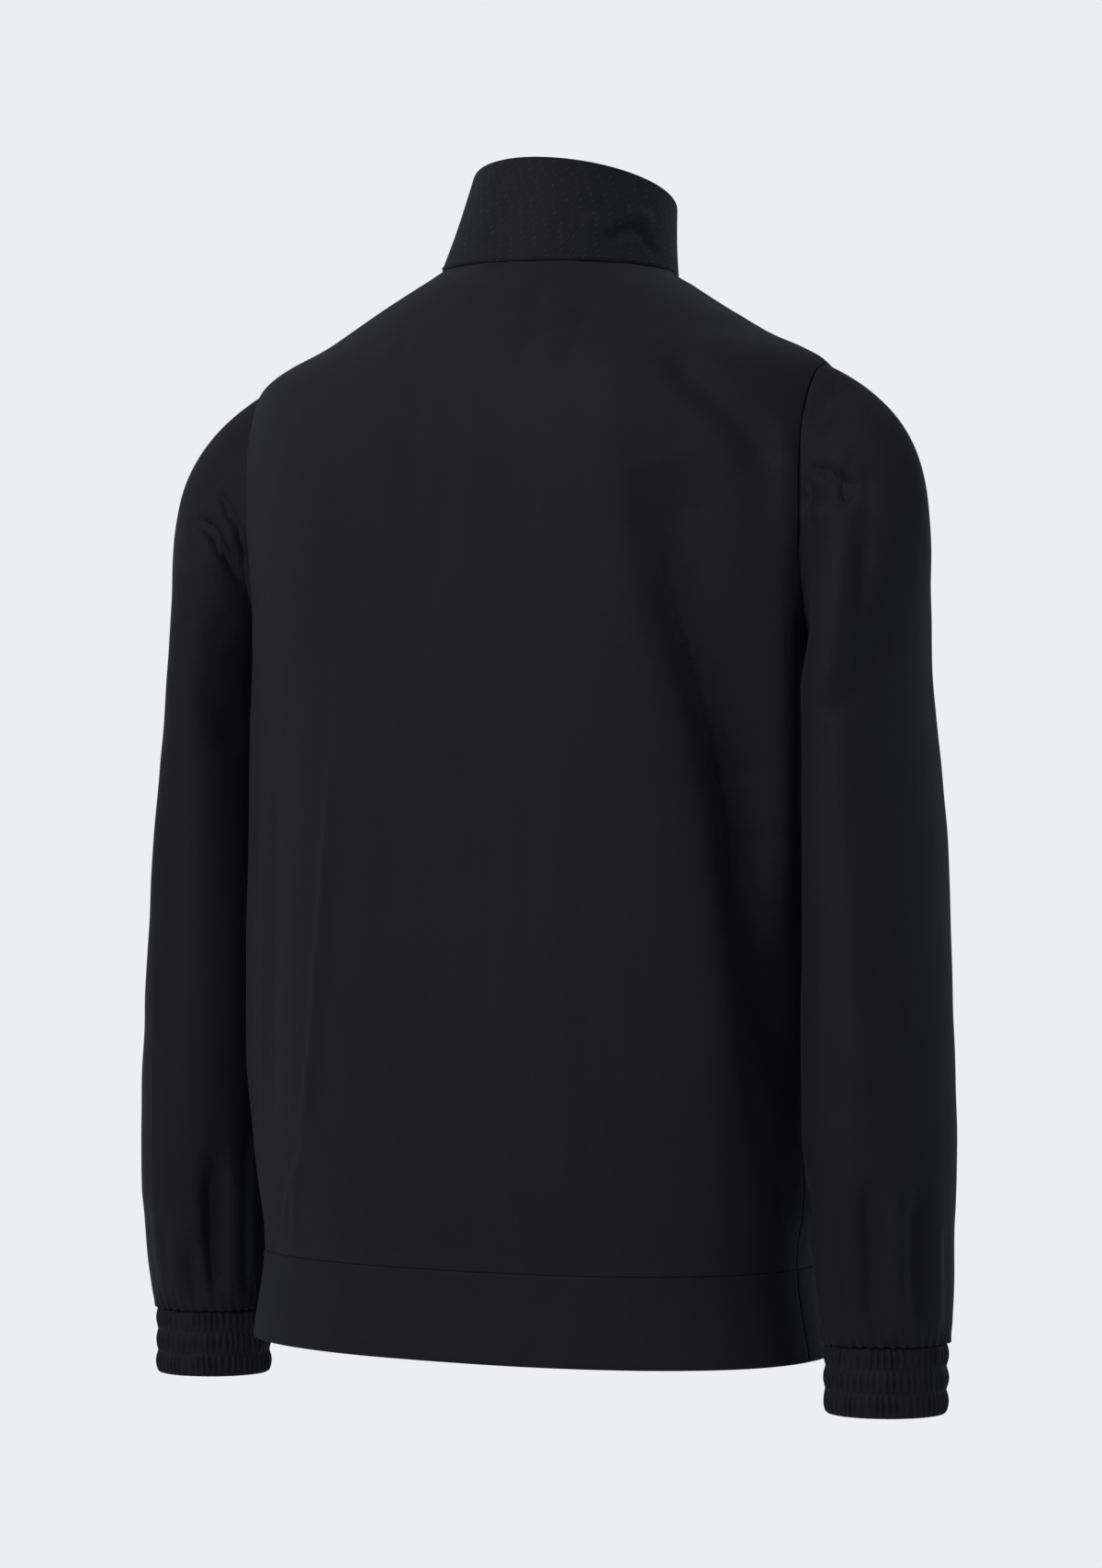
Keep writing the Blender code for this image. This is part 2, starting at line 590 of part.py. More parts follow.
def make_cuff(side, name, cloth):
    """A ring whose outside is gathered over a plain inside."""
    outer_angles = np.linspace(0, 2 * pi, GATHERS * POINTS_PER_GATHER, endpoint=False)
    inner_angles = np.linspace(0, 2 * pi, CUFF_INSIDE_POINTS, endpoint=False)
    centre = np.array([side * SLEEVE["centre_x"][-1], SLEEVE["centre_y"][-1]])
    top, bottom = CUFF_TOP + wrist_lift(side), CUFF_BOTTOM + wrist_lift(side)
    channel_height = (top - bottom) / CUFF_CHANNELS
    heights, rings = [], []
    for channel in range(CUFF_CHANNELS):
        phase = pi * (channel % 2) + CHANNEL_SHIFT * channel
        for share in CUFF_LEVELS:
            heights.append(top - channel_height * (channel + share))
            rings.append(CUFF_RADIUS + cuff_level_rise(share, phase, outer_angles))
    heights.append(bottom)
    rings.append(CUFF_RADIUS + cuff_level_rise(0.0, phase, outer_angles))
    outer = cuff_points(centre, np.array(rings), outer_angles, np.array(heights))
    inner_heights = np.array([top, (top + bottom) / 2, bottom])
    inner_radii = np.full((len(inner_heights), len(inner_angles)), CUFF_RADIUS - CUFF_WALL)
    inner = cuff_points(centre, inner_radii, inner_angles, inner_heights)
    join_tubes(name, outer, inner, cloth)


def cuff_points(centre, radii, angles, heights):
    x = centre[0] + radii * np.cos(angles)
    y = centre[1] + radii * np.sin(angles)
    return np.stack([x, y, np.repeat(heights[:, None], len(angles), 1)], -1)


def join_tubes(name, outer, inner, finish):
    """A closed ring from an outer tube and a plainer inner one, whose rims are joined by fans."""
    rows, many = outer.shape[:2]
    few_rows, few = inner.shape[:2]
    each = many // few
    inside = rows * many
    faces = []
    for r in range(rows - 1):
        for c in range(many):
            a, b = r * many + c, r * many + (c + 1) % many
            faces.append((a, a + many, b + many, b))
    for r in range(few_rows - 1):
        for c in range(few):
            a, b = inside + r * few + c, inside + r * few + (c + 1) % few
            faces.append((a, b, b + few, a + few))
    for outer_row, inner_row, flip in ((0, 0, False), (rows - 1, few_rows - 1, True)):
        for c in range(few):
            near = inside + inner_row * few + c
            after = inside + inner_row * few + (c + 1) % few
            rim = [outer_row * many + (c * each + k) % many for k in range(each + 1)]
            fan = [(near, rim[k], rim[k + 1]) for k in range(each)] + [(near, rim[-1], after)]
            faces.extend(f[::-1] if flip else f for f in fan)
    points = np.concatenate([outer.reshape(-1, 3), inner.reshape(-1, 3)])
    return add_object(name, points, faces, finish)


# ---------------------------------------------------------------- the zip
def front_line(column):
    """The middle of the left front's cloth along one of its columns, from the hem to the collar's edge."""
    body_rows, reach = body_row_places()
    rows = np.concatenate([np.linspace(0, SEAM_ROW, BAND_ROWS + 1)[:-1], body_rows[:-1]])
    reach = np.concatenate([np.zeros(BAND_ROWS), reach[:-1]])
    angles, rows = front_grid(rows, reach, SIDE_COLUMNS, True)
    angles, shares = angles[:, -1 - column], rows[:, -1 - column]
    low = body(angles, shares)
    angles, shares = collar_grid()
    return np.concatenate([low, collar(angles[:, column], shares[:, column])])


class FrontLine:
    """The cloth's edge at the centre front as a line in y and z. Offsets are measured outwards from it."""

    def __init__(self):
        edge, beside = front_line(0), front_line(1)
        self.line = edge[:, 1:]
        self.lean = (beside[:, 1:] - edge[:, 1:]) / (beside[:, :1] - FRONT_EDGE)
        way = unit(np.diff(self.line, axis=0))
        side = np.stack([-way[:, 1], way[:, 0]], -1)
        mean = np.concatenate([side[:1], unit(side[1:] + side[:-1]), side[-1:]])
        stretch = np.concatenate([[1], 1 / (mean[1:-1] * side[1:]).sum(-1), [1]])
        self.out = mean * stretch[:, None]  # stretched at the bends, so that offsets stay even
        self.place = np.concatenate([[0], np.cumsum(np.linalg.norm(np.diff(self.line, axis=0), axis=1))])

    def read(self, values, at):
        return np.array([np.interp(at, self.place, values[:, k]) for k in (0, 1)])

    def point(self, at, x=0.0, offset=0.0):
        """The y and z at a distance up the line, out to the side by x, and outwards by an offset."""
        beyond = max(x - FRONT_EDGE, 0.0)
        return self.read(self.line, at) + self.read(self.lean, at) * beyond + self.read(self.out, at) * offset

    def way(self, at):
        return unit(self.point(at + 0.003) - self.point(at - 0.003))


def make_zip(tape_finish, metal):
    front = FrontLine()
    end = front.place[-1]
    slider_at = end - SLIDER_DOWN
    kept = front.place[(front.place > ZIP_FOOT + 0.002) & (front.place < slider_at - 0.004)]
    # The two sides part over a short stretch in the slider, and end below the collar's edge
    ends = [ZIP_FOOT, slider_at - 0.002, slider_at + 0.001, end - ZIP_HEAD]
    stations = np.sort(np.concatenate([kept, ends]))
    for side, name in ((1, "zip_tape_left"), (-1, "zip_tape_right")):
        rings = []
        for at in stations:
            near = COIL_PARTED if at > slider_at else SEAM_GAP / 2
            profile = (
                (near, TAPE_BACK),
                (FRONT_EDGE, TAPE_BACK),
                (TAPE_REACH, TAPE_BACK),
                (TAPE_REACH, TAPE_FACE),
                (FRONT_EDGE, TAPE_FACE),
                (near + COIL_WIDTH, TAPE_FACE),
                (near + COIL_WIDTH, COIL_FACE),
                (near, COIL_FACE),
            )
            rings.append([(side * x, *front.point(at, x, offset)) for x, offset in profile])
        swept(name, np.array(rings), tape_finish)
    make_zip_box(front, metal)
    make_slider(front, slider_at, metal)


def swept(name, rings, finish):
    """A closed solid through rings of points, with a flat cap at each end."""
    count, around = rings.shape[:2]
    faces = []
    for r in range(count - 1):
        for c in range(around):
            a, b = r * around + c, r * around + (c + 1) % around
            faces.append((a, b, b + around, a + around))
    faces.append(tuple(range(around))[::-1])
    faces.append(tuple((count - 1) * around + c for c in range(around)))
    return add_object(name, rings.reshape(-1, 3), faces, finish, sharp=30)


def make_zip_box(front, metal):
    """The box at the foot of the zip, just below the tapes."""
    half, low, high = SLIDER_WIDTH / 2, TAPE_BACK, COIL_FACE + BOX_RISE
    corners = ((-half, low), (half, low), (half, high), (-half, high))
    places = (BOX_FOOT, ZIP_FOOT - SEAM_GAP)
    rings = [[(x, *front.point(at, 0, offset)) for x, offset in corners] for at in places]
    swept("zip_box", np.array(rings), metal)


def plate(name, outline, low, high, placed):
    """A flat plate, with its outline in its own x and y and its thickness from low to high along its z."""
    solid = bmesh.new()
    rims = [[solid.verts.new((x, y, z)) for x, y in outline] for z in (low, high)]
    solid.faces.new(rims[0][::-1])
    solid.faces.new(rims[1])
    for k in range(len(outline)):
        after = (k + 1) % len(outline)
        solid.faces.new((rims[0][k], rims[0][after], rims[1][after], rims[1][k]))
    return place_solid(name, solid, placed)


def place_solid(name, solid, placed):
    bmesh.ops.recalc_face_normals(solid, faces=solid.faces[:])
    mesh = bpy.data.meshes.new(name)
    solid.to_mesh(mesh)
    solid.free()
    made = bpy.data.objects.new(name, mesh)
    made.matrix_world = placed
    bpy.context.scene.collection.objects.link(made)
    return made


def block(x, y, cut=0.0):
    """A rectangle from x[0] to x[1] and y[0] to y[1], with its corners cut off by cut."""
    (x0, x1), (y0, y1) = x, y
    if not cut:
        return [(x0, y0), (x1, y0), (x1, y1), (x0, y1)]
    return [
        (x0 + cut, y0),
        (x1 - cut, y0),
        (x1, y0 + cut),
        (x1, y1 - cut),
        (x1 - cut, y1),
        (x0 + cut, y1),
        (x0, y1 - cut),
        (x0, y0 + cut),
    ]


def join(base, others, finish):
    """Adds other solids to base with Boolean unions."""
    base.data.materials.append(finish)
    for other in others:
        union = base.modifiers.new("join", "BOOLEAN")
        union.operation = "UNION"
        union.solver = "EXACT"
        union.object = other
        other.hide_render = True
        other.display_type = "WIRE"


def make_slider(front, slider_at, metal):
    """The slider round the coil, and the pull tab, which turns on a bar under the slider's bridge."""
    middle, way = front.point(slider_at), front.way(slider_at)
    out = np.array([-way[1], way[0]])
    # Its own x is across the zip, y up it and z outwards
    placed = Matrix(
        (
            (1, 0, 0, 0),
            (0, way[0], out[0], middle[0]),
            (0, way[1], out[1], middle[1]),
            (0, 0, 0, 1),
        )
    )
    half, tall = SLIDER_WIDTH / 2, SLIDER_LENGTH / 2
    face = COIL_FACE + RUNNING_GAP
    top = face + SLIDER_PLATE
    under = TAPE_BACK - RUNNING_GAP
    bar = top + RUNNING_GAP + PULL_BAR
    bridge = bar + PULL_BAR + BRIDGE_CLEAR
    outline = block((-half, half), (-tall, tall), SLIDER_CORNER)
    rim = half - SLIDER_RIM
    rim_reach = tall - RIM_SHORT
    rim_low = TAPE_FACE + RIM_CLEAR
    across = (-BRIDGE_HALF, BRIDGE_HALF)
    # word, outline, low and high
    pieces = (
        ("under_plate", outline, under - SLIDER_PLATE, under),
        ("post", block((-POST_HALF, POST_HALF), (POST_FOOT, POST_HEAD)), under - FUSE, face + FUSE),
        ("left_rim", block((rim, half), (-rim_reach, rim_reach)), rim_low, face + FUSE),
        ("right_rim", block((-half, -rim), (-rim_reach, rim_reach)), rim_low, face + FUSE),
        ("low_pillar", block(across, (-PILLAR_FAR, -PILLAR_NEAR)), top - FUSE, bridge + FUSE),
        ("high_pillar", block(across, (PILLAR_NEAR, PILLAR_FAR)), top - FUSE, bridge + FUSE),
        ("bridge", block(across, (-PILLAR_FAR, PILLAR_FAR)), bridge, bridge + SLIDER_PLATE),
    )
    slider = plate("zip_slider", outline, face, top, placed)
    join(slider, [plate(f"zip_slider_{word}", *sizes, placed) for word, *sizes in pieces], metal)

    # The pull hangs straight down from its bar, whatever way the collar leans, so its own y is up
    pivot = middle + out * bar
    hung = Matrix(((1, 0, 0, 0), (0, 0, -1, pivot[0]), (0, 1, 0, pivot[1]), (0, 0, 0, 1)))
    flat = PULL_THICK / 2
    blade = block((-PULL_WIDTH / 2, PULL_WIDTH / 2), (-PULL_LENGTH, -PULL_EYE), PULL_CORNER)
    pull = plate("zip_pull", blade, -flat, flat, hung)
    arms = [
        plate("zip_pull_arm", block(reach, (-PULL_EYE - flat, PULL_ARM_END)), -flat, flat, hung)
        for reach in ((PULL_ARM, 2 * PULL_ARM), (-2 * PULL_ARM, -PULL_ARM))
    ]
    solid = bmesh.new()
    turned = Matrix.Rotation(pi / 2, 4, "Y")
    bmesh.ops.create_cone(
        solid,
        cap_ends=True,
        segments=12,
        radius1=PULL_BAR,
        radius2=PULL_BAR,
        depth=2 * (2 * PULL_ARM - FUSE),
        matrix=turned,
    )
    join(pull, [*arms, place_solid("zip_pull_bar", solid, hung)], metal)


def main():
    for old in list(bpy.data.objects):
        bpy.data.objects.remove(old)
    woven = material("woven_shell", (0.016, 0.015, 0.019), 0.62)
    knit = material("dotted_knit", (0.014, 0.014, 0.017), 0.78)
    tape = material("zip_tape", (0.010, 0.010, 0.012), 0.70)
    metal = material("zip_metal", (0.012, 0.012, 0.013), 0.35, 0.6)
    make_body(woven)
    make_hem_band(woven)
    make_collar(knit)
    for side, word in ((1, "left"), (-1, "right")):
        make_sleeve(side, f"sleeve_{word}", woven)
        make_cuff(side, f"cuff_{word}", woven)
    make_zip(tape, metal)


main()
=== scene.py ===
"""The looks of the rain jacket: fine shells of black woven cloth on the forms of its solids, with their
creases, a collar of dotted knit, gathered cuffs, stitching and a coil zip, in a plain pale studio.

The wearer faces -Y, the wearer's left is +X, and the origin is the middle of the neck seam. Sizes are in
metres.
"""

from math import cos, pi, radians, sin

import bpy
import numpy as np
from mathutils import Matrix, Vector


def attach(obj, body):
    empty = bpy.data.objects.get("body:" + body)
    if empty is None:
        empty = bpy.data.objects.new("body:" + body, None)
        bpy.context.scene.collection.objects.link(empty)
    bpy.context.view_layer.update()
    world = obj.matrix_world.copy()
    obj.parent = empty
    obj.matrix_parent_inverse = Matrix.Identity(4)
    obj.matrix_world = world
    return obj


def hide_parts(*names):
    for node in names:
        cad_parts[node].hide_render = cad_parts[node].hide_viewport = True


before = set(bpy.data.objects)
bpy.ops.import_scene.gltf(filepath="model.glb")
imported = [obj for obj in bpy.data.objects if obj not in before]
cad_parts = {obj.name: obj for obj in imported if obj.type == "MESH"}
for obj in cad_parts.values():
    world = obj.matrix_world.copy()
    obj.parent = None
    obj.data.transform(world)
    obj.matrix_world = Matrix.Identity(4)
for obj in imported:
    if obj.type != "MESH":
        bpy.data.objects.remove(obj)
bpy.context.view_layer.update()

# ---------------------------------------------------------------- the cloth's sizes
SHELL_CLOTH = 0.0010
DOUBLE_CLOTH = 0.0020
SEAM_GAP = 0.0003  # between neighbours that only meet
SEWN_GAP = 0.0001  # between neighbours that are sewn together
FINE = 0.0026  # spacing of the panels' points
EDGE_STEPS = (0.0, 0.0004, 0.0010, 0.0018)  # distances from an edge at which the panels have points

# The body from the hem up to the neck seam. A ring lies at each row, level at the sides.
# height of the ring at the sides, half width, depth behind and before its centre, the centre's y,
# rise per metre towards the back, curved drop at the front, squareness (2 is an ellipse)
BODY_COLUMNS = ("height", "half_width", "back", "front", "centre", "tilt", "drop", "square")
BODY_SECTIONS = (
    (-0.6905, 0.2040, 0.116, 0.117, 0.027, -0.01, 0.0, 2.25),  # lower edge of the hem band
    (-0.6330, 0.1950, 0.113, 0.113, 0.027, -0.01, 0.0, 2.25),  # seam of the hem band
    (-0.5800, 0.2005, 0.118, 0.117, 0.026, 0.00, 0.0, 2.30),
    (-0.4500, 0.2050, 0.119, 0.122, 0.023, 0.00, 0.0, 2.35),
    (-0.3300, 0.2055, 0.118, 0.125, 0.020, 0.00, 0.0, 2.35),
    (-0.2500, 0.2080, 0.116, 0.126, 0.019, 0.00, 0.0, 2.30),  # underarm
    (-0.1500, 0.2210, 0.106, 0.124, 0.023, 0.01, 0.8, 2.05),
    (-0.0980, 0.2230, 0.099, 0.121, 0.026, 0.02, 1.6, 1.80),
    (-0.0650, 0.2150, 0.094, 0.115, 0.025, 0.03, 2.2, 1.62),  # shoulder point
    (-0.0390, 0.1620, 0.090, 0.107, 0.018, 0.03, 3.2, 1.70),
    (-0.0120, 0.1110, 0.082, 0.094, 0.008, 0.03, 4.8, 1.88),
    (0.0050, 0.0785, 0.072, 0.079, 0.000, 0.03, 7.0, 2.00),  # neck seam
)
SEAM_SECTION, UNDERARM_SECTION, SHOULDER_SECTION = 1, 5, 8
ARMHOLE_BACK, ARMHOLE_FRONT = 0.33, 0.40  # how far the armhole reaches round the body, in radians
FRONT_EDGE = 0.0052  # from the centre line to the edge of the cloth

COLLAR_TOP = {
    "height": 0.0600,
    "half_width": 0.0660,
    "back": 0.0660,
    "front": 0.0670,
    "centre": -0.0200,
    "tilt": 0.26,
}
COLLAR_HOLLOW = 0.0008

SLEEVE_COLUMNS = ("height", "centre_x", "centre_y", "half_width", "half_depth")
SLEEVE_SECTIONS = (
    (-0.275, 0.2465, 0.028, 0.0310, 0.0590),
    (-0.360, 0.2512, 0.028, 0.0372, 0.0580),
    (-0.490, 0.2555, 0.030, 0.0430, 0.0550),
    (-0.580, 0.2575, 0.031, 0.0440, 0.0520),
    (-0.640, 0.2590, 0.030, 0.0424, 0.0485),
    (-0.664, 0.2595, 0.029, 0.0408, 0.0445),
    (-0.680, 0.2600, 0.028, 0.0378, 0.0385),
)
RIGHT_WRIST_LIFT = 0.0060
SLEEVE_SQUARE = 2.15
CAP_TOP = (0.90, 0.00, 0.41, 1.65)  # how the cap leaves the armhole: out, back, down, strength
CAP_BACK = (0.90, 0.28, 0.50, 0.85)
CAP_UNDER = (0.97, 0.00, 0.25, 1.20)
CAP_FRONT = (0.90, -0.15, 0.50, 0.90)
CAP_ARRIVE = 1.05
CAP_CLEAR, CAP_TURNED = 0.0001, 1.3

# The large folds: angle and height at both ends, width and rise. The solids have the same, but for the
# first two of the body, the back's long trough, which lie further round here.
FOLD_FADE, FOLD_END = 0.22, 0.35
BODY_FOLDS = (
    (131.0, -0.125, 153.0, -0.355, 0.027, -0.0105),
    (152.0, -0.330, 171.0, -0.557, 0.026, -0.0095),
    (160.0, -0.120, 166.0, -0.420, 0.016, 0.0070),
    (134.0, -0.063, 156.0, -0.134, 0.013, -0.0035),
    (28.0, -0.240, 24.0, -0.560, 0.020, 0.0045),
    (46.0, -0.300, 42.0, -0.560, 0.024, -0.0035),
    (-36.0, -0.150, -40.0, -0.450, 0.026, -0.0060),
    (216.0, -0.150, 220.0, -0.450, 0.026, -0.0060),
    (-22.0, -0.220, -24.0, -0.520, 0.020, 0.0045),
    (202.0, -0.220, 204.0, -0.520, 0.020, 0.0045),
    (-64.0, -0.300, -60.0, -0.580, 0.030, 0.0040),
    (246.0, -0.280, 242.0, -0.580, 0.030, 0.0035),
)
LEFT_SLEEVE_FOLDS = (
    (96.0, -0.151, 158.0, -0.214, 0.0095, -0.0090),
    (108.0, -0.128, 150.0, -0.182, 0.0070, -0.0025),
    (80.0, -0.225, 150.0, -0.310, 0.0130, -0.0035),
    (300.0, -0.150, 236.0, -0.226, 0.0110, -0.0060),
    (290.0, -0.225, 225.0, -0.300, 0.0120, -0.0035),
    (131.0, -0.590, 130.0, -0.676, 0.0085, -0.0050),
    (172.0, -0.560, 174.0, -0.672, 0.0110, -0.0050),
    (108.0, -0.640, 108.0, -0.676, 0.0070, -0.0035),
    (60.0, -0.610, 62.0, -0.674, 0.0085, -0.0025),
    (10.0, -0.600, 8.0, -0.674, 0.0085, -0.0030),
    (235.0, -0.580, 238.0, -0.674, 0.0100, -0.0045),
    (300.0, -0.600, 296.0, -0.674, 0.0090, -0.0040),
)
RIGHT_SLEEVE_FOLDS = (
    (84.0, -0.131, 46.0, -0.147, 0.0085, -0.0070),
    (90.0, -0.165, 44.0, -0.195, 0.0120, -0.0030),
    (27.0, -0.234, 80.0, -0.291, 0.0120, -0.0050),
    (20.0, -0.480, 60.0, -0.530, 0.0120, -0.0025),
    (300.0, -0.150, 236.0, -0.226, 0.0110, -0.0060),
    (290.0, -0.240, 225.0, -0.310, 0.0120, -0.0035),
    (61.0, -0.580, 61.0, -0.676, 0.0090, -0.0055),
    (24.0, -0.585, 24.0, -0.676, 0.0085, -0.0045),
    (100.0, -0.600, 98.0, -0.674, 0.0090, -0.0040),
    (140.0, -0.570, 142.0, -0.674, 0.0110, -0.0045),
    (235.0, -0.590, 238.0, -0.674, 0.0100, -0.0045),
    (305.0, -0.590, 302.0, -0.674, 0.0090, -0.0035),
)

# The finer creases, each a path of (angle, height), then its widths to its two sides and its rise.
# Seen from outside with the path running down, the first width is to the left and the second to the right.
BODY_CREASES = (
    (((119, -0.100), (123.5, -0.165), (127, -0.211), (132, -0.251), (141, -0.326), (144.5, -0.400),
      (148.5, -0.468), (153, -0.530), (168, -0.590)), 0.030, 0.012, 0.0034),  # the edge of the long trough
    (((125, -0.110), (130, -0.165), (134, -0.211), (139, -0.251), (148, -0.326), (151.5, -0.400),
      (155.5, -0.468), (160, -0.530), (174, -0.590)), 0.014, 0.030, -0.0042),  # its steep side
    (((158, -0.080), (161.5, -0.150), (162, -0.240), (166, -0.412)), 0.010, 0.012, 0.0030),
    (((132, -0.060), (138, -0.078), (147, -0.104), (158, -0.140)), 0.0060, 0.013, -0.0030),
    (((128, -0.064), (135, -0.086), (144, -0.116), (152, -0.146)), 0.012, 0.006, 0.0016),
    (((66, -0.280), (63.5, -0.400), (60.5, -0.502), (57.5, -0.562)), 0.0045, 0.0030, 0.0017),
    (((68.5, -0.300), (66, -0.410), (63, -0.510), (60, -0.570)), 0.0050, 0.0090, -0.0013),
    (((57.5, -0.562), (52, -0.592), (45.5, -0.623)), 0.0035, 0.0035, 0.0012),
    (((57.5, -0.562), (54, -0.592), (51, -0.622)), 0.0030, 0.0030, 0.0010),
    (((86, -0.180), (84, -0.230), (85, -0.290)), 0.013, 0.009, -0.0020),
    (((91, -0.150), (90, -0.230), (91, -0.330)), 0.009, 0.013, 0.0014),
    (((112, -0.006), (107, -0.040), (101.5, -0.081)), 0.008, 0.006, -0.0016),
    (((126, -0.019), (118, -0.045), (110, -0.075)), 0.008, 0.006, -0.0014),
    (((70, -0.035), (77, -0.070), (84, -0.115)), 0.006, 0.009, -0.0013),
    (((108, -0.290), (112, -0.400), (116, -0.520), (118, -0.615)), 0.020, 0.014, 0.0018),
    (((96, -0.330), (98, -0.450), (101, -0.615)), 0.016, 0.018, -0.0018),
    (((78, -0.360), (76, -0.470), (74, -0.610)), 0.012, 0.016, -0.0012),
    (((44, -0.290), (41, -0.420), (39, -0.600)), 0.010, 0.008, 0.0016),
    (((35, -0.310), (32, -0.430), (30, -0.590)), 0.009, 0.010, -0.0018),
    (((-50, -0.160), (-47, -0.280), (-50, -0.420)), 0.014, 0.010, 0.0020),
    (((-30, -0.260), (-34, -0.380), (-33, -0.500)), 0.010, 0.012, -0.0022),
    (((-72, -0.100), (-66, -0.170), (-58, -0.230)), 0.010, 0.010, -0.0016),
    (((-76, -0.360), (-74, -0.470), (-76, -0.600)), 0.012, 0.009, 0.0015),
    (((232, -0.170), (228, -0.300), (230, -0.430)), 0.012, 0.014, 0.0020),
    (((210, -0.250), (213, -0.370), (212, -0.520)), 0.011, 0.010, -0.0022),
    (((253, -0.105), (247, -0.165), (239, -0.240)), 0.010, 0.010, -0.0016),
    (((256, -0.380), (254, -0.480), (257, -0.605)), 0.009, 0.012, 0.0015),
    (((186, -0.300), (184, -0.420), (185, -0.560)), 0.010, 0.010, -0.0022),
    (((-6, -0.300), (-4, -0.420), (-5, -0.560)), 0.010, 0.010, -0.0022),
)
CREASE_REACH = 3.0  # a crease ends at this many widths from its path
CREASE_FADE, CREASE_END = 0.28, 0.1  # the share of its path in which it grows, and its rise at the very end

# The slack of each cloth, as rise, size and seed of smooth noise
BODY_WAVES = ((0.0008, 0.075, 1), (0.00035, 0.030, 2))
COLLAR_WAVES = ((0.0006, 0.045, 3),)
SLEEVE_WAVES = ((0.0008, 0.060, 4), (0.0004, 0.026, 5))
# The ripples beside a seam: reach from the seam, size and rise
BODY_PUCKERS = (0.016, 0.011, 0.0006)
SLEEVE_PUCKERS = (0.012, 0.010, 0.0007)
NOISE_VALUES, NOISE_STRIDES, NOISE_SHIFT = 4096, (73, 179, 283), 100  # the shift keeps all cells above 0

CUFF_RADIUS = 0.0374
CUFF_TOP, CUFF_BOTTOM = -0.6801, -0.7240
CUFF_CHANNELS = 3
GATHERS = 56  # in each channel
GATHER_RISE, CHANNEL_SWELL = 0.0010, 0.0009
GATHER_POINTS, CUFF_ROWS = 10, 52  # points round each gather, and rows down the cuff
GATHER_LEAST = 0.22  # the share of a gather's rise that is left at the stitched lines
GATHER_PEAK = 0.8  # below 1, the gathers are rounder at their crests than a wave

# The zip, measured outwards from the middle of the cloth at the centre front
TAPE_REACH = 0.0140
TAPE_FACE, TAPE_BACK = -0.0014, -0.0022
COIL_FACE, COIL_WIDTH = 0.0004, 0.0020
COIL_PARTED = 0.0012  # half the space between the two sides above the slider
ZIP_FOOT, ZIP_HEAD = 0.0120, 0.0040  # the tapes end this far above the hem and below the collar's edge
SLIDER_DOWN = 0.0150  # from the collar's edge to the slider's middle
COIL_PITCH = 0.0014
BOX_HALF = 0.0045  # half the width of the box at the foot
TAPE_END = 0.0010  # the tapes stop this far above the hem
# A loop of the coil: distances along the zip as shares of half a loop, the oval's size there, and how far it
# stands off the tape
COIL_ALONG, COIL_SIZE = (-0.84, -0.62, 0.0, 0.62, 0.84), (0.62, 0.92, 1.0, 0.92, 0.62)
COIL_CLEAR = 0.0001
PARTING_START, PARTING_LENGTH = 0.002, 0.003  # the sides part from this far below the slider's middle
STITCH_PITCH, STITCH_LENGTH, STITCH_RADIUS = 0.0032, 0.0024, 0.00022
# A stitch: distances along it as shares of its length, its thickness there, and how it bows
THREAD_ALONG, THREAD_SIZE = (-0.5, -0.36, 0.0, 0.36, 0.5), (0.35, 0.9, 1.0, 0.9, 0.35)
THREAD_LIFT, THREAD_DIP = 0.75, 6.0
COLLAR_THREAD = 0.00034  # radius of the thicker thread on the collar


# ---------------------------------------------------------------- curves and surfaces
def through(knots, values, at):
    """A smooth curve through values at knots, read at at: cubic pieces whose slope at a knot is that of the
    line between its two neighbours. Past its ends it goes on straight."""
    knots, values, at = np.asarray(knots, float), np.asarray(values, float), np.asarray(at, float)
    slopes = np.gradient(values, knots)
    slopes[1:-1] = (values[2:] - values[:-2]) / (knots[2:] - knots[:-2])
    inside = np.clip(at, knots[0], knots[-1])
    i = np.clip(np.searchsorted(knots, inside, side="right") - 1, 0, len(knots) - 2)
    span = knots[i + 1] - knots[i]
    t = (inside - knots[i]) / span
    past = (at - inside) * np.where(at < knots[0], slopes[0], slopes[-1])
    return (
        (2 * t**3 - 3 * t**2 + 1) * values[i]
        + (t**3 - 2 * t**2 + t) * span * slopes[i]
        + (3 * t**2 - 2 * t**3) * values[i + 1]
        + (t**3 - t**2) * span * slopes[i + 1]
        + past
    )


def unit(vectors):
    return vectors / np.maximum(np.linalg.norm(vectors, axis=-1, keepdims=True), 1e-12)


def round_factor(angle, square):
    """How far a ring of that squareness stands out from an ellipse at an angle."""
    return (np.abs(np.cos(angle)) ** square + np.abs(np.sin(angle)) ** square) ** (-1 / square)


def fold_lines(folds, place):
    """The folds with their ends as points, which place gives for an angle and a height."""
    return [
        (place(angle_0, height_0), place(angle_1, height_1), width, rise)
        for angle_0, height_0, angle_1, height_1, width, rise in folds
    ]


def fold_rise(points, folds):
    """The rise that a list of folds gives to points: a bell across each fold's line, fading at its ends."""
    rise = np.zeros(points.shape[:-1])
    for start, end, width, height in folds:
        along = end - start
        share = np.clip(((points - start) @ along) / (along @ along), 0, 1)
        away = np.linalg.norm(points - (start + share[..., None] * along), axis=-1)
        fade = np.clip(np.minimum(share, 1 - share) / FOLD_FADE + FOLD_END, 0, 1)
        rise += height * fade * np.exp(-((away / width) ** 2))
    return rise


def crease_lines(creases, place):
    """The creases with their paths as points, which place gives for each pair of the path."""
    return [
        (np.array([place(*at) for at in path]), left, right, rise) for path, left, right, rise in creases
    ]


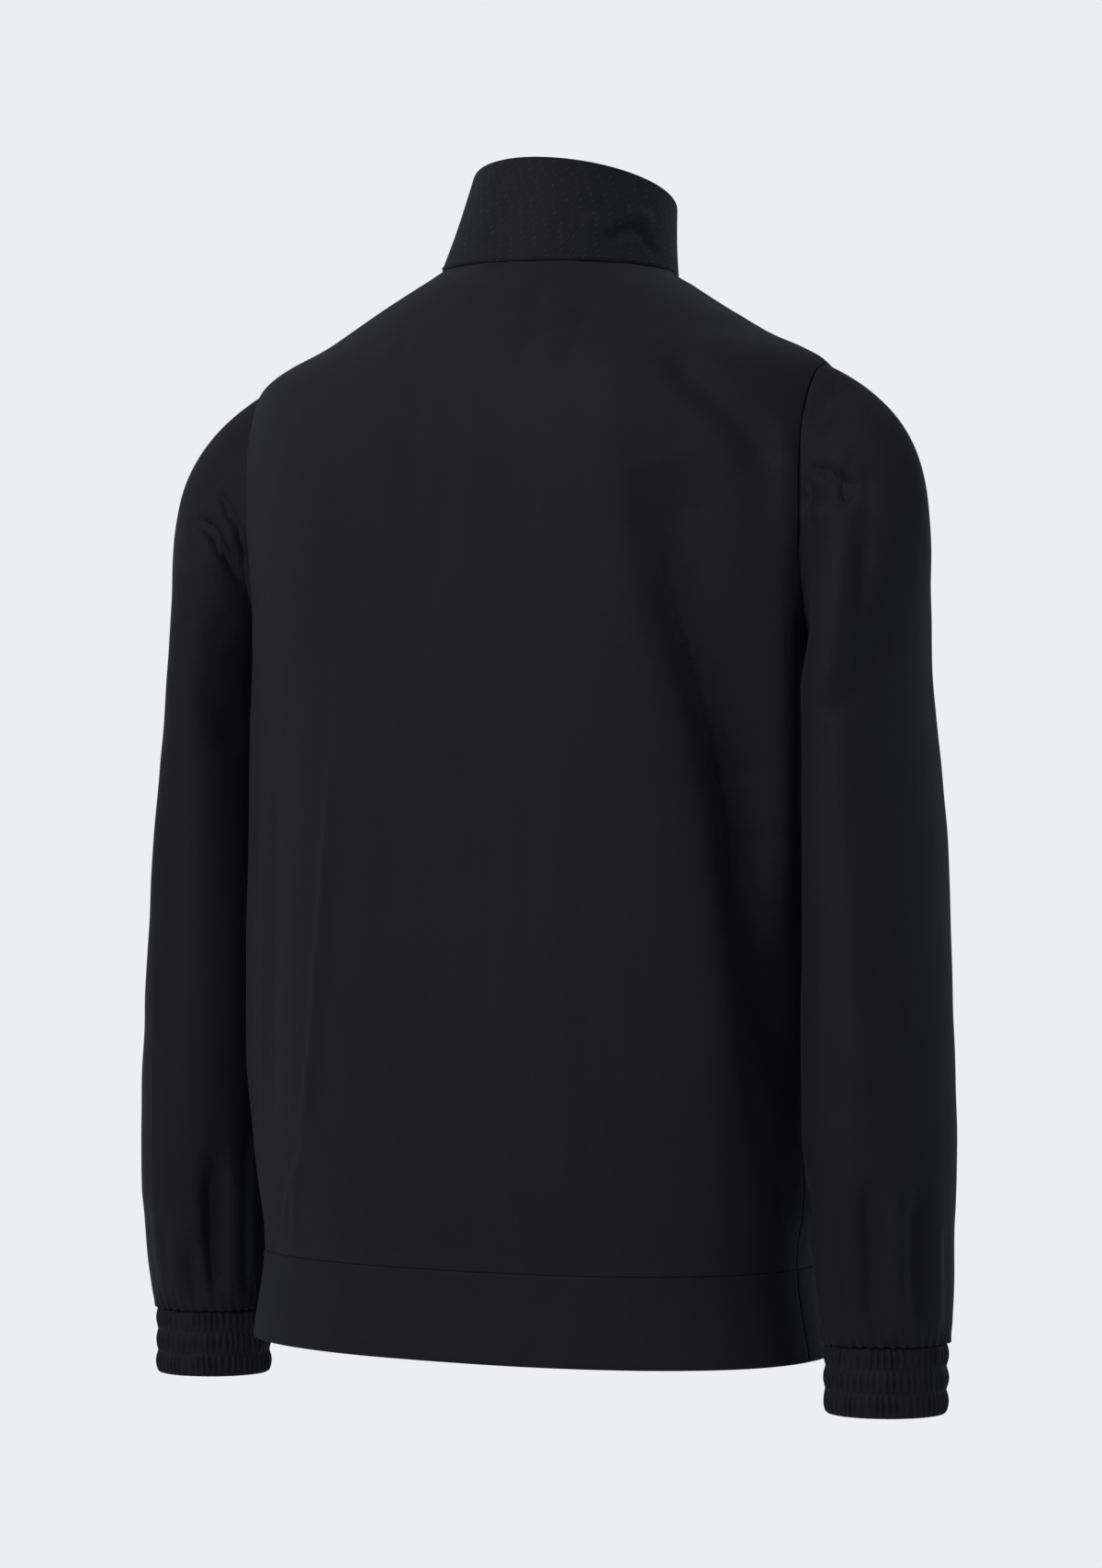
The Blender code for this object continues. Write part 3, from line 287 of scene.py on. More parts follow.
def crease_rise(points, normals, creases):
    """The rise that creases give: a bell across each path, with its own width on each side, which fades
    out smoothly towards both ends of the path."""
    rise = np.zeros(points.shape[:-1])
    for path, left, right, height in creases:
        places = np.linspace(0, len(path) - 1, 4 * len(path))
        line = np.stack([through(np.arange(len(path)), path[:, k], places) for k in range(3)], -1)
        reach = CREASE_REACH * max(left, right)
        close = ((points > line.min(0) - reach) & (points < line.max(0) + reach)).all(-1)
        if close.any():
            rise[close] += height * crease_bell(points[close], normals[close], line, left, right)
    return rise


def crease_bell(points, normals, line, left, right):
    """From 0 to 1, how much of a crease's rise each point takes."""
    near = np.full(len(points), np.inf)
    side, place = np.zeros(len(points)), np.zeros(len(points))
    for k in range(len(line) - 1):
        along = line[k + 1] - line[k]
        share = np.clip(((points - line[k]) @ along) / (along @ along), 0, 1)
        off = points - (line[k] + share[:, None] * along)
        away = np.linalg.norm(off, axis=-1)
        closer = away < near
        near = np.where(closer, away, near)
        across = (np.cross(normals, along) * off).sum(-1)
        side = np.where(closer, across, side)
        place = np.where(closer, (k + share) / (len(line) - 1), place)
    ends = np.clip(np.minimum(place, 1 - place) / CREASE_FADE, 0, 1)
    fade = CREASE_END + (1 - CREASE_END) * ends * ends * (3 - 2 * ends)
    return fade * np.exp(-((near / np.where(side > 0, right, left)) ** 2))


def unevenness(points, size, seed):
    """Smooth noise from -1 to 1: random values on a lattice of that size, blended between its corners."""
    rng = np.random.default_rng(seed)
    table = rng.uniform(-1, 1, NOISE_VALUES)
    scaled = points / size + NOISE_SHIFT
    cell = np.floor(scaled).astype(int)
    t = scaled - cell
    t = t * t * (3 - 2 * t)
    total = np.zeros(points.shape[:-1])
    for corner in np.ndindex(2, 2, 2):
        at = cell + np.array(corner)
        value = table[(at * NOISE_STRIDES).sum(-1) % NOISE_VALUES]
        total += value * np.where(np.array(corner) == 1, t, 1 - t).prod(-1)
    return total


def waves(points, kinds):
    """The slack of the cloth: smooth noise of each kind, which is a rise, a size and a seed."""
    return sum(rise * unevenness(points, size, seed) for rise, size, seed in kinds)


def differences(surface, u, v, step_u=2e-3, step_v=5e-4):
    """The unit normals of a surface of two parameters, from its differences over small steps of them."""
    along_u = surface(u + step_u, v) - surface(u - step_u, v)
    along_v = surface(u, v + step_v) - surface(u, v - step_v)
    return unit(np.cross(along_u, along_v))


# ---------------------------------------------------------------- the body's surface
BODY = {name: np.array(column) for name, column in zip(BODY_COLUMNS, zip(*BODY_SECTIONS))}
BODY_ROWS = np.concatenate([[0], np.cumsum(np.hypot(np.diff(BODY["height"]), np.diff(BODY["half_width"])))])
SEAM_ROW, UNDERARM_ROW = BODY_ROWS[SEAM_SECTION], BODY_ROWS[UNDERARM_SECTION]
SHOULDER_ROW, NECK_ROW = BODY_ROWS[SHOULDER_SECTION], BODY_ROWS[-1]


def ring_point(angle, size):
    """A point of a ring, at an angle from +X towards the back."""
    factor = round_factor(angle, size["square"])
    deep = np.where(np.sin(angle) > 0, size["back"], size["front"]) * np.sin(angle) * factor
    x = size["half_width"] * np.cos(angle) * factor
    z = size["height"] + size["tilt"] * deep - size["drop"] * np.minimum(deep, 0) ** 2
    return np.stack([x, size["centre"] + deep, z], -1)


def plain_body(angle, row):
    return ring_point(angle, {name: through(BODY_ROWS, BODY[name], row) for name in BODY_COLUMNS})


def body_place(angle, height):
    """The plain body's point at an angle in degrees and a height at the side."""
    return plain_body(np.array(radians(angle)), np.interp(height, BODY["height"], BODY_ROWS))


BODY_FOLD_LINES = fold_lines(BODY_FOLDS, body_place)
BODY_CREASE_LINES = crease_lines(BODY_CREASES, body_place)


def body(angle, row):
    """The middle of the cloth of the body, with the solids' large folds."""
    angle, row = np.broadcast_arrays(np.asarray(angle, float), np.asarray(row, float))
    points = plain_body(angle, row)
    outward = differences(plain_body, angle, row)
    return points + outward * fold_rise(points, BODY_FOLD_LINES)[..., None]


# ---------------------------------------------------------------- meshes
def even_shares(length, near_ends=(True, True), spacing=FINE):
    """Shares from 0 to 1 about one spacing apart, crowded at the ends that are asked for."""
    near = np.array(EDGE_STEPS) / length
    low = near if near_ends[0] else np.array([0.0])
    high = 1 - near[::-1] if near_ends[1] else np.array([1.0])
    many = max(int(length / spacing), 2)
    inner = np.linspace(low[-1], high[0], many + 1)[1:-1]
    return np.concatenate([low, inner, high])


def grid_normals(points, closed, away):
    """Unit normals of a grid, on the side that away points to."""
    if closed:
        around = np.roll(points, -1, 1) - np.roll(points, 1, 1)
    else:
        around = np.gradient(points, axis=1)
    normals = unit(np.cross(around, np.gradient(points, axis=0)))
    return normals * np.sign((normals * away).sum(-1).mean())


def path_lengths(points, axis):
    """The distance along a grid's lines, from their first point."""
    steps = np.linalg.norm(np.diff(points, axis=axis), axis=-1)
    start = np.zeros_like(np.take(steps, [0], axis))
    return np.concatenate([start, np.cumsum(steps, axis)], axis)


def edge_distance(points, closed, edges):
    """How far each point of a grid is from the nearest of the named edges, along its lines."""
    along, across = path_lengths(points, 0), path_lengths(points, 1)
    found = [np.full(points.shape[:2], 1.0)]
    if "foot" in edges:
        found.append(along)
    if "top" in edges:
        found.append(along[-1:] - along)
    if "left" in edges and not closed:
        found.append(across)
    if "right" in edges and not closed:
        found.append(across[:, -1:] - across)
    return np.minimum.reduce(found)


ALL_EDGES = ("left", "right", "foot", "top")
EDGE_ROUND = 2.2  # how far in an edge is rounded, in half thicknesses of the cloth


def thinned(count, step):
    """The indices of every step-th line, with the first and last."""
    return np.unique(np.concatenate([np.arange(0, count, step), [count - 1]]))


def put_mesh(name, points, faces, finish, smooth=True):
    mesh = bpy.data.meshes.new(name)
    mesh.from_pydata(points, [], faces)
    mesh.update()
    if smooth:
        mesh.shade_smooth()
    mesh.materials.append(finish)
    made = bpy.data.objects.new(name, mesh)
    bpy.context.scene.collection.objects.link(made)
    return made


def grid_faces(rows, columns, closed, first=0):
    """Quads between the neighbours of a grid whose points are stored row by row."""
    r = np.arange(rows - 1)[:, None]
    c = np.arange(columns if closed else columns - 1)[None, :]
    a, b = r * columns + c, r * columns + (c + 1) % columns
    return first + np.stack([a, b, b + columns, a + columns], -1).reshape(-1, 4)


def rim_faces(outer, inner, closed):
    """Many-sided faces between an edge of the fine side, given as the indices of its points, and the same
    edge of the coarse side, given as pairs of (place along the fine edge, index of the point)."""
    faces = []
    pairs = list(zip(inner[:-1], inner[1:]))
    for (at, point), (after, point_after) in pairs:
        faces.append([*outer[at : after + 1], point_after, point])
    if closed:
        (at, point), (_, point_first) = inner[-1], inner[0]
        faces.append([*outer[at:], outer[0], point_first, point])
    return faces


def shell(name, middle, normals, thickness, closed, finish, edges, step=4):
    """A closed wall of cloth: the fine outside of a grid and a coarser inside, joined round the rims. The
    outside rounds down to the middle of the cloth at the named edges."""
    rows, columns = middle.shape[:2]
    half = thickness / 2
    distance = edge_distance(middle, closed, edges)
    rounded = np.sqrt(1 - (1 - np.clip(distance / (EDGE_ROUND * half), 0, 1)) ** 2)
    outer = middle + normals * (half * rounded)[..., None]
    row_at = thinned(rows, step)
    column_at = np.arange(0, columns, step) if closed else thinned(columns, step)
    inner = (middle - normals * half)[np.ix_(row_at, column_at)]
    first = rows * columns
    few_rows, few = inner.shape[:2]
    faces = grid_faces(rows, columns, closed).tolist()
    faces += grid_faces(few_rows, few, closed, first)[:, ::-1].tolist()
    index = np.arange(first).reshape(rows, columns)
    within = first + np.arange(few_rows * few).reshape(few_rows, few)
    foot = rim_faces(index[0].tolist(), list(zip(column_at.tolist(), within[0].tolist())), closed)
    top = rim_faces(index[-1].tolist(), list(zip(column_at.tolist(), within[-1].tolist())), closed)
    faces += [face[::-1] for face in foot] + top
    if not closed:
        left = rim_faces(index[:, 0].tolist(), list(zip(row_at.tolist(), within[:, 0].tolist())), False)
        right = rim_faces(index[:, -1].tolist(), list(zip(row_at.tolist(), within[:, -1].tolist())), False)
        faces += left + [face[::-1] for face in right]
    points = np.concatenate([outer.reshape(-1, 3), inner.reshape(-1, 3)])
    facing = np.cross(outer[1, 1] - outer[1, 0], outer[2, 0] - outer[1, 0]) @ normals[1, 0]
    if facing < 0:
        faces = [face[::-1] for face in faces]
    made = put_mesh(name, points, faces, finish)
    add_cloth_map(made, middle, row_at, column_at)
    return made


def add_cloth_map(made, middle, row_at, column_at):
    """Gives the mesh its place on the cloth in metres as a UV map."""
    place = np.stack([path_lengths(middle, 1), path_lengths(middle, 0)], -1)
    pick = np.ix_(row_at, column_at)
    flat = np.concatenate([place.reshape(-1, 2), place[pick].reshape(-1, 2)])
    mesh = made.data
    vertex = np.empty(len(mesh.loops), np.int32)
    mesh.loops.foreach_get("vertex_index", vertex)
    layer = mesh.uv_layers.new(name="cloth")
    layer.data.foreach_set("uv", flat[vertex].astype(np.float32).ravel())


def put_many(name, points, finish):
    """One mesh of many small closed solids, each a row of rings. points is (solid, ring, around, xyz)."""
    count, rings, around = points.shape[:3]
    one = grid_faces(rings, around, True).tolist()
    one += [list(range(around))[::-1], list(range((rings - 1) * around, rings * around))]
    if signed_volume(points[0].reshape(-1, 3), one) < 0:
        one = [face[::-1] for face in one]
    faces = [[point + k * rings * around for point in face] for k in range(count) for face in one]
    return put_mesh(name, points.reshape(-1, 3), faces, finish)


def signed_volume(points, faces):
    """Six times a solid's volume, negative if its faces look inwards."""
    centre = points.mean(0)
    volume = 0.0
    for face in faces:
        corners = points[face] - centre
        for k in range(1, len(face) - 1):
            volume += np.dot(corners[0], np.cross(corners[k], corners[k + 1]))
    return volume


# ---------------------------------------------------------------- shader maths
class Maths:
    """A socket or a number, with operators that add Math nodes."""

    def __init__(self, made, value):
        self.made, self.value = made, value

    def join(self, operation, *others):
        values = [other.value if isinstance(other, Maths) else other for other in others]
        return self.made.node("ShaderNodeMath", {"operation": operation}, [self.value, *values])

    def __add__(self, other):
        return self.join("ADD", other)

    def __sub__(self, other):
        return self.join("SUBTRACT", other)

    def __rsub__(self, other):
        return Maths(self.made, other).join("SUBTRACT", self)

    def __mul__(self, other):
        return self.join("MULTIPLY", other)

    def __truediv__(self, other):
        return self.join("DIVIDE", other)

    def __pow__(self, other):
        return self.join("POWER", other)

    __radd__, __rmul__ = __add__, __mul__

    def sine(self):
        return self.join("SINE")

    def clamped(self):
        return self.join("MINIMUM", 1.0).join("MAXIMUM", 0.0)

    def floored(self):
        return self.join("FLOOR")

    def size(self):
        return self.join("ABSOLUTE")

    def left_over(self, other):
        return self.join("FLOORED_MODULO", other)


class Finish:
    """A material under construction. Its one method adds a node."""

    def __init__(self, name, **sockets):
        self.material = bpy.data.materials.new(name)
        self.material.use_nodes = True
        self.tree = self.material.node_tree
        self.shader = self.tree.nodes["Principled BSDF"]
        for socket, value in sockets.items():
            self.shader.inputs[socket.replace("_", " ")].default_value = value

    def node(self, kind, settings=None, sockets=(), output=0):
        """A node of a type, with its settings set first and then the values or links of its sockets."""
        made = self.tree.nodes.new(kind)
        for key, value in (settings or {}).items():
            setattr(made, key, value)
        pairs = sockets.items() if isinstance(sockets, dict) else enumerate(sockets)
        for key, value in pairs:
            value = value.value if isinstance(value, Maths) else value
            if isinstance(value, bpy.types.NodeSocket):
                self.tree.links.new(value, made.inputs[key])
            else:
                made.inputs[key].default_value = value
        return Maths(self, made.outputs[output])

    def feed(self, socket, value):
        self.tree.links.new(value.value, self.shader.inputs[socket])

    def blend(self, factor, low, high):
        """A colour between two colours."""
        settings = {"data_type": "RGBA"}
        return self.node("ShaderNodeMix", settings, {0: factor, 6: low, 7: high}, 2)

    def noise(self, place, scale, detail=2.0):
        sockets = {"Vector": place, "Scale": scale, "Detail": detail}
        return self.node("ShaderNodeTexNoise", {}, sockets)

    def cloth_place(self):
        return self.node("ShaderNodeUVMap", {"uv_map": "cloth"})

    def stretched(self, place, scale):
        return self.node("ShaderNodeMapping", {}, {"Vector": place, "Scale": scale})

    def bump(self, height, distance, strength=1.0):
        sockets = {"Strength": strength, "Distance": distance, "Height": height}
        return self.node("ShaderNodeBump", {}, sockets)


def woven_cloth(name, dark, light, roughness, sheen):
    """Plain-woven black cloth: threads both ways, uneven slubs, and a slightly paler tone in soft patches."""
    made = Finish(name, Sheen_Weight=sheen, Sheen_Roughness=0.45, Specular_IOR_Level=0.32)
    place = made.cloth_place()
    across = made.noise(made.stretched(place, (260.0, 2400.0, 1.0)), 1.0, 1.0)
    upward = made.noise(made.stretched(place, (2400.0, 260.0, 1.0)), 1.0, 1.0)
    threads = across * 0.5 + upward * 0.5
    streaks = made.noise(made.stretched(place, (60.0, 2.5, 1.0)), 1.0, 3.0)
    patches = made.noise(made.stretched(place, (10.0, 4.0, 1.0)), 1.0, 2.0)
    tone = (threads * 0.45 + patches * 0.35 + streaks * 0.35 - 0.32) * 2.2
    made.feed("Base Color", made.blend(tone.clamped(), (*dark, 1), (*light, 1)))
    made.feed("Roughness", threads * 0.16 + (roughness - 0.08))
    fine = made.noise(place, 150.0, 3.0)
    made.feed("Normal", made.bump(threads * 0.6 + fine * 0.9, 0.00035, 0.55))
    return made.material


def dotted_knit(name, dark, light):
    """Black knit with rows of small upright dashes, paler and a little raised, each row half a pitch on."""
    made = Finish(name, Sheen_Weight=0.04, Sheen_Roughness=0.5, Specular_IOR_Level=0.30)
    place = made.cloth_place()
    across = made.node("ShaderNodeSeparateXYZ", {}, {"Vector": place}, 0)
    up = made.node("ShaderNodeSeparateXYZ", {}, {"Vector": place}, 1)
    drift = made.noise(made.stretched(place, (70.0, 70.0, 1.0)), 1.0, 1.0) - 0.5
    line = up / KNIT_ROW + drift * 0.9
    row = line.floored()
    shifted = across / KNIT_PITCH + row.left_over(2.0) * 0.5 + drift * 0.8
    beside = (shifted - shifted.floored() - 0.5).size() * (2 * KNIT_PITCH / DASH_WIDTH)
    along = (line - row - 0.5).size() * (2 * KNIT_ROW / DASH_HEIGHT)
    strong = (made.noise(made.stretched(place, (130.0, 260.0, 1.0)), 1.0, 1.0) - 0.28) * 2.6
    dash = (1.0 - (beside**2.0 + along**4.0)).clamped() * strong.clamped()
    ribs = (across * (2 * pi / RIB_PITCH)).sine() * 0.5 + 0.5
    loops = (up * (2 * pi / LOOP_PITCH)).sine() * 0.5 + 0.5
    grain = made.noise(place, 900.0, 3.0)
    tone = (ribs * 0.12 + loops * 0.10 + grain * 0.40 + dash * 0.75 - 0.08).clamped()
    made.feed("Base Color", made.blend(tone, (*dark, 1), (*light, 1)))
    made.feed("Roughness", dash * -0.18 + (grain * 0.14 + 0.60))
    height = ribs * 0.25 + loops * 0.2 + grain * 0.5 + dash * 1.3
    made.feed("Normal", made.bump(height, 0.00040, 0.8))
    return made.material


def painted_metal(name, colour):
    """Satin black paint, thinner and smoother along patches that hands have rubbed."""
    made = Finish(name, Coat_Weight=0.15, Coat_Roughness=0.3)
    place = made.node("ShaderNodeTexCoord", {}, (), 3)
    rubbed = (made.noise(place, 260.0, 3.0) * 3.0 - 1.3).clamped()
    fine = made.noise(place, 2600.0, 2.0)
    made.feed("Base Color", made.blend(rubbed, (*colour, 1), (*[2.2 * c for c in colour], 1)))
    made.feed("Metallic", rubbed * 0.35 + 0.45)
    made.feed("Roughness", fine * 0.12 + (0.36 - rubbed * 0.10))
    made.feed("Normal", made.bump(fine, 0.00005, 0.4))
    return made.material


def plain_finish(name, colour, roughness, grain=0.0):
    """One colour with a slightly uneven roughness, for small hard pieces."""
    made = Finish(name, Base_Color=(*colour, 1), Metallic=0.0)
    place = made.node("ShaderNodeTexCoord", {}, (), 3)
    uneven = made.noise(place, 900.0, 2.0)
    made.feed("Roughness", uneven * 0.2 + (roughness - 0.1))
    if grain:
        made.feed("Normal", made.bump(uneven, grain, 0.5))
    return made.material


# ---------------------------------------------------------------- panels of the body
BACK_WIDTH, FRONT_WIDTH = 0.52, 0.26  # about how wide the panels are, for the spacing of their points
ARMHOLE_ROWS, ARMHOLE_CROWDING = 52, 1.7  # rows in half the armhole's height, and how they close up
EDGE_SHARE = 0.09  # of a panel's width: how far in its columns follow the armhole's edge closely


def armhole_reach(rows):
    """How far the armhole reaches at a row, from 0 to 1: half an ellipse from underarm to shoulder."""
    share = np.clip((rows - UNDERARM_ROW) / (SHOULDER_ROW - UNDERARM_ROW), 0, 1)
    return 2 * np.sqrt(share * (1 - share))


def panel_rows():
    """Fine rows from the hem band's seam to the neck, closer at the armhole's two ends."""
    low = SEAM_ROW + (UNDERARM_ROW - SEAM_ROW) * even_shares(UNDERARM_ROW - SEAM_ROW, (True, False))
    half = np.linspace(0, 1, ARMHOLE_ROWS)[1:] ** ARMHOLE_CROWDING / 2
    share = np.concatenate([half, 1 - half[-2::-1]])
    arm = UNDERARM_ROW + (SHOULDER_ROW - UNDERARM_ROW) * share
    yoke = SHOULDER_ROW + (NECK_ROW - SHOULDER_ROW) * even_shares(NECK_ROW - SHOULDER_ROW, (False, True))
    return np.concatenate([low, arm, yoke])


def armhole_shift(rows, shares, width):
    """How far a panel's columns give way to an armhole of this angle at their start: all of it at the edge
    itself, and further in a calmer share that has no steep end."""
    reach = armhole_reach(rows)[:, None]
    near = np.exp(-shares / EDGE_SHARE)
    return width * (near * reach + (1 - near) * reach**2)


def back_angles(rows, shares):
    left = armhole_shift(rows, shares, ARMHOLE_BACK) * (1 - shares)
    right = armhole_shift(rows, 1 - shares, ARMHOLE_BACK) * shares
    return pi * shares + left - right, np.repeat(rows[:, None], len(shares), 1)


def front_angles(rows, shares, left):
    reach = np.arcsin(FRONT_EDGE / through(BODY_ROWS, BODY["half_width"], rows))[:, None]
    start = armhole_shift(rows, shares, ARMHOLE_FRONT)
    angles = -((pi / 2 - reach) * shares + start * (1 - shares))
    if not left:
        angles = pi - angles
    return angles, np.repeat(rows[:, None], len(shares), 1)


def inset(points, edges, gap=SEWN_GAP / 2):
    """Moves the named edges of a grid into the panel by half a seam gap."""
    points = points.copy()
    for edge in edges:
        rim, next_in = {
            "left": (np.s_[:, 0], np.s_[:, 1]),
            "right": (np.s_[:, -1], np.s_[:, -2]),
            "foot": (np.s_[0], np.s_[1]),
            "top": (np.s_[-1], np.s_[-2]),
        }[edge]
        points[rim] += unit(points[next_in] - points[rim]) * gap
    return points


CALM_REACH = 0.030  # the cloth lies flat beside the zip, and its creases are whole this far from it
CALM_LEAST = 0.02  # the share of the creases that is left at the zip itself


def seam_puckers(points, distance, reach, pitch, rise):
    """Small ripples that run away from a seam: smooth noise that fades with the distance from it."""
    near = np.exp(-((distance / reach) ** 2))
    return rise * near * (0.6 * unevenness(points, pitch, 7) + 0.4 * unevenness(points, pitch * 0.55, 8))


def body_cloth(angles, rows, edges, seams, calm=()):
    """The middle of a body panel's cloth with its creases, which die out towards calm edges, and its
    normals."""
    points = inset(body(angles, rows), edges)
    away = np.stack([np.cos(angles), np.sin(angles), 0.3 + 0 * angles], -1)
    normals = grid_normals(points, False, away)
    rise = crease_rise(points, normals, BODY_CREASE_LINES)
    rise += waves(points, BODY_WAVES)
    distance = edge_distance(points, False, seams)
    rise += seam_puckers(points, distance, *BODY_PUCKERS)
    rise *= np.clip(edge_distance(points, False, calm) / CALM_REACH, CALM_LEAST, 1)
    points = points + normals * rise[..., None]
    return points, grid_normals(points, False, away)


TOPSTITCH = 0.0045  # from an edge to the row of stitches beside it


def make_body(cloth):
    rows = panel_rows()
    columns = even_shares(BACK_WIDTH)
    angles, places = back_angles(rows, columns)
    points, normals = body_cloth(angles, places, ALL_EDGES, ALL_EDGES)
    back = shell("back_cloth", points, normals, SHELL_CLOTH, False, cloth, ALL_EDGES)
    fronts, lines = [], []
    for side in ("left", "right"):
        angles, places = front_angles(rows, even_shares(FRONT_WIDTH), side == "left")
        seams = ("left", "foot", "top")
        points, normals = body_cloth(angles, places, seams, seams, ("right",))
        fronts.append(shell(f"front_{side}_cloth", points, normals, SHELL_CLOTH, False, cloth, ALL_EDGES))
        lines.append(line_beside(points, normals, "right", TOPSTITCH, SHELL_CLOTH / 2))
    return back, fronts, lines


def make_hem_band(cloth):
    rows = SEAM_ROW * even_shares(SEAM_ROW)
    front = even_shares(FRONT_WIDTH)
    pieces, lines = [], []
    jobs = (
        ("back", even_shares(BACK_WIDTH), ("left", "right", "top"), (), back_angles),
        ("left", front, ("left", "top"), ("right",), lambda r, s: front_angles(r, s, True)),
        ("right", front, ("left", "top"), ("right",), lambda r, s: front_angles(r, s, False)),
    )
    for word, columns, seams, calm, angles_of in jobs:
        angles, places = angles_of(rows, columns)
        points, normals = body_cloth(angles, places, seams, ("top",), calm)
        name = f"hem_band_{word}_cloth"
        pieces.append(shell(name, points, normals, DOUBLE_CLOTH, False, cloth, ALL_EDGES))
        if word != "back":
            lines.append(line_beside(points, normals, "right", TOPSTITCH, DOUBLE_CLOTH / 2))
    return pieces, lines


# ---------------------------------------------------------------- the collar
COLLAR_CREASES = (
    (((128, 0.44), (135, 0.40), (143, 0.33), (150, 0.30)), 0.0060, 0.0045, 0.0016),
    (((143, 0.16), (146, 0.26), (151, 0.34), (160, 0.41), (167, 0.34), (172, 0.22), (182, 0.13)),
     0.0055, 0.0040, -0.0036),
    (((152, 0.22), (159, 0.28), (165, 0.22)), 0.0060, 0.0060, 0.0007),
    (((152, 0.50), (164, 0.56), (176, 0.44)), 0.0080, 0.0060, 0.0016),
    (((60, 0.62), (90, 0.58), (118, 0.64)), 0.0120, 0.0120, -0.0007),
    (((8, 0.30), (18, 0.42), (30, 0.30)), 0.0070, 0.0060, -0.0016),
)
COLLAR_STITCH = 0.0022  # from the neck seam up to the stitches that hold the collar
COLLAR_HEIGHT, COLLAR_LENGTH = 0.080, 0.46  # about, for the spacing of its points
COLLAR_ROW, COLLAR_COLUMN = 0.0016, 0.0020  # that spacing
KNIT_ROW, KNIT_PITCH = 0.0045, 0.0080  # between rows of dashes, and along a row
DASH_WIDTH, DASH_HEIGHT = 0.0019, 0.0032
RIB_PITCH, LOOP_PITCH = 0.0011, 0.0009  # the knit's ribs and the loops along them


def neck_frame(angle):
    """The neck seam's points, with the way in over the cloth and the cloth's outward normal."""
    row = np.full(angle.shape, NECK_ROW)
    point = body(angle, row)
    inward = unit(point - body(angle, row - 0.004))
    around = unit(body(angle + 0.01, row) - body(angle - 0.01, row))
    return point, inward, unit(np.cross(around, inward))


def collar(angle, share):
    """The collar's cloth at an angle and a share of its height."""
    angle, share = np.broadcast_arrays(np.asarray(angle, float), np.asarray(share, float))
    top = ring_point(angle, {**COLLAR_TOP, "drop": 0.0, "square": 2.0})
    base, inward, outward = neck_frame(angle)
    rise = unit(top - base)
    lift = SEAM_GAP + DOUBLE_CLOTH / 2 * np.abs((rise * outward).sum(-1, keepdims=True))
    base = base + inward * lift
    away = unit(base * np.array([1.0, 1.0, 0.0]))
    hollow = COLLAR_HOLLOW * np.sin(pi * share)[..., None]
    return base + (top - base) * share[..., None] - away * hollow


def collar_place(angle, share):
    """The collar's point at an angle in degrees and a share of its height."""
    return collar(np.array(radians(angle)), np.array(share))


def make_collar(knit):
    shares = even_shares(COLLAR_HEIGHT, spacing=COLLAR_ROW)[:, None]
    width = BODY["half_width"][-1] + (COLLAR_TOP["half_width"] - BODY["half_width"][-1]) * shares
    edge = np.arcsin(FRONT_EDGE / width)
    around = even_shares(COLLAR_LENGTH, spacing=COLLAR_COLUMN)
    angles = -pi / 2 + edge + (2 * pi - 2 * edge) * around
    shares = np.repeat(shares, len(around), 1)
    points = collar(angles, shares)
    away = np.stack([np.cos(angles), np.sin(angles), 0 * angles], -1)
    normals = grid_normals(points, False, away)
    rise = crease_rise(points, normals, crease_lines(COLLAR_CREASES, collar_place))
    rise += waves(points, COLLAR_WAVES)
    rise *= np.clip(edge_distance(points, False, ("left", "right")) / CALM_REACH, CALM_LEAST, 1)
    points = points + normals * rise[..., None]
    normals = grid_normals(points, False, away)
    lines = [line_beside(points, normals, "foot", COLLAR_STITCH, DOUBLE_CLOTH / 2)]
    lines += [line_beside(points, normals, edge, TOPSTITCH, DOUBLE_CLOTH / 2) for edge in ("left", "right")]
    return shell("collar_cloth", points, normals, DOUBLE_CLOTH, False, knit, ALL_EDGES), lines


# ---------------------------------------------------------------- the sleeves
SLEEVE = {name: np.array(column) for name, column in zip(SLEEVE_COLUMNS, zip(*SLEEVE_SECTIONS))}
BICEPS, WRIST = -SLEEVE["height"][0], -SLEEVE["height"][-1]


def wrist_lift(side):
    return RIGHT_WRIST_LIFT if side < 0 else 0.0


def sleeve_ring(angle, depth, side):
    """The sleeve's plain tube at an angle (0 outwards, 90 degrees back) and a depth below the neck."""
    size = {name: through(-SLEEVE["height"], SLEEVE[name], depth) for name in SLEEVE_COLUMNS}
    factor = round_factor(angle, SLEEVE_SQUARE)
    x = size["centre_x"] + size["half_width"] * np.cos(angle) * factor
    y = size["centre_y"] + size["half_depth"] * np.sin(angle) * factor
    lift = wrist_lift(side) * np.clip((depth - BICEPS) / (WRIST - BICEPS), 0, 1)
    return np.stack([side * x, y, size["height"] + lift], -1)


def armhole(angle, side):
    """The armhole's point at an angle round the sleeve, with the body's normal."""
    turn = pi - np.arccos(np.cos(angle))
    row = UNDERARM_ROW + (SHOULDER_ROW - UNDERARM_ROW) * (1 - np.cos(turn)) / 2
    reach = np.where(np.sin(angle) >= 0, ARMHOLE_BACK, -ARMHOLE_FRONT) * np.sin(turn)
    around = reach if side > 0 else pi - reach
    out = differences(body, around, row)
    return body(around, row), out * np.sign(out[..., :1] * side)


def armhole_frame(angle, side):
    point, out = armhole(angle, side)
    along = unit(armhole(angle + 0.02, side)[0] - armhole(angle - 0.02, side)[0])
    into = unit(np.cross(along, out)) * side
    centre = armhole(np.array(0.0), side)[0] * 0.5 + armhole(np.array(pi), side)[0] * 0.5
    into = into * np.sign((into * (centre - point)).sum(-1, keepdims=True))
    return point, into, out


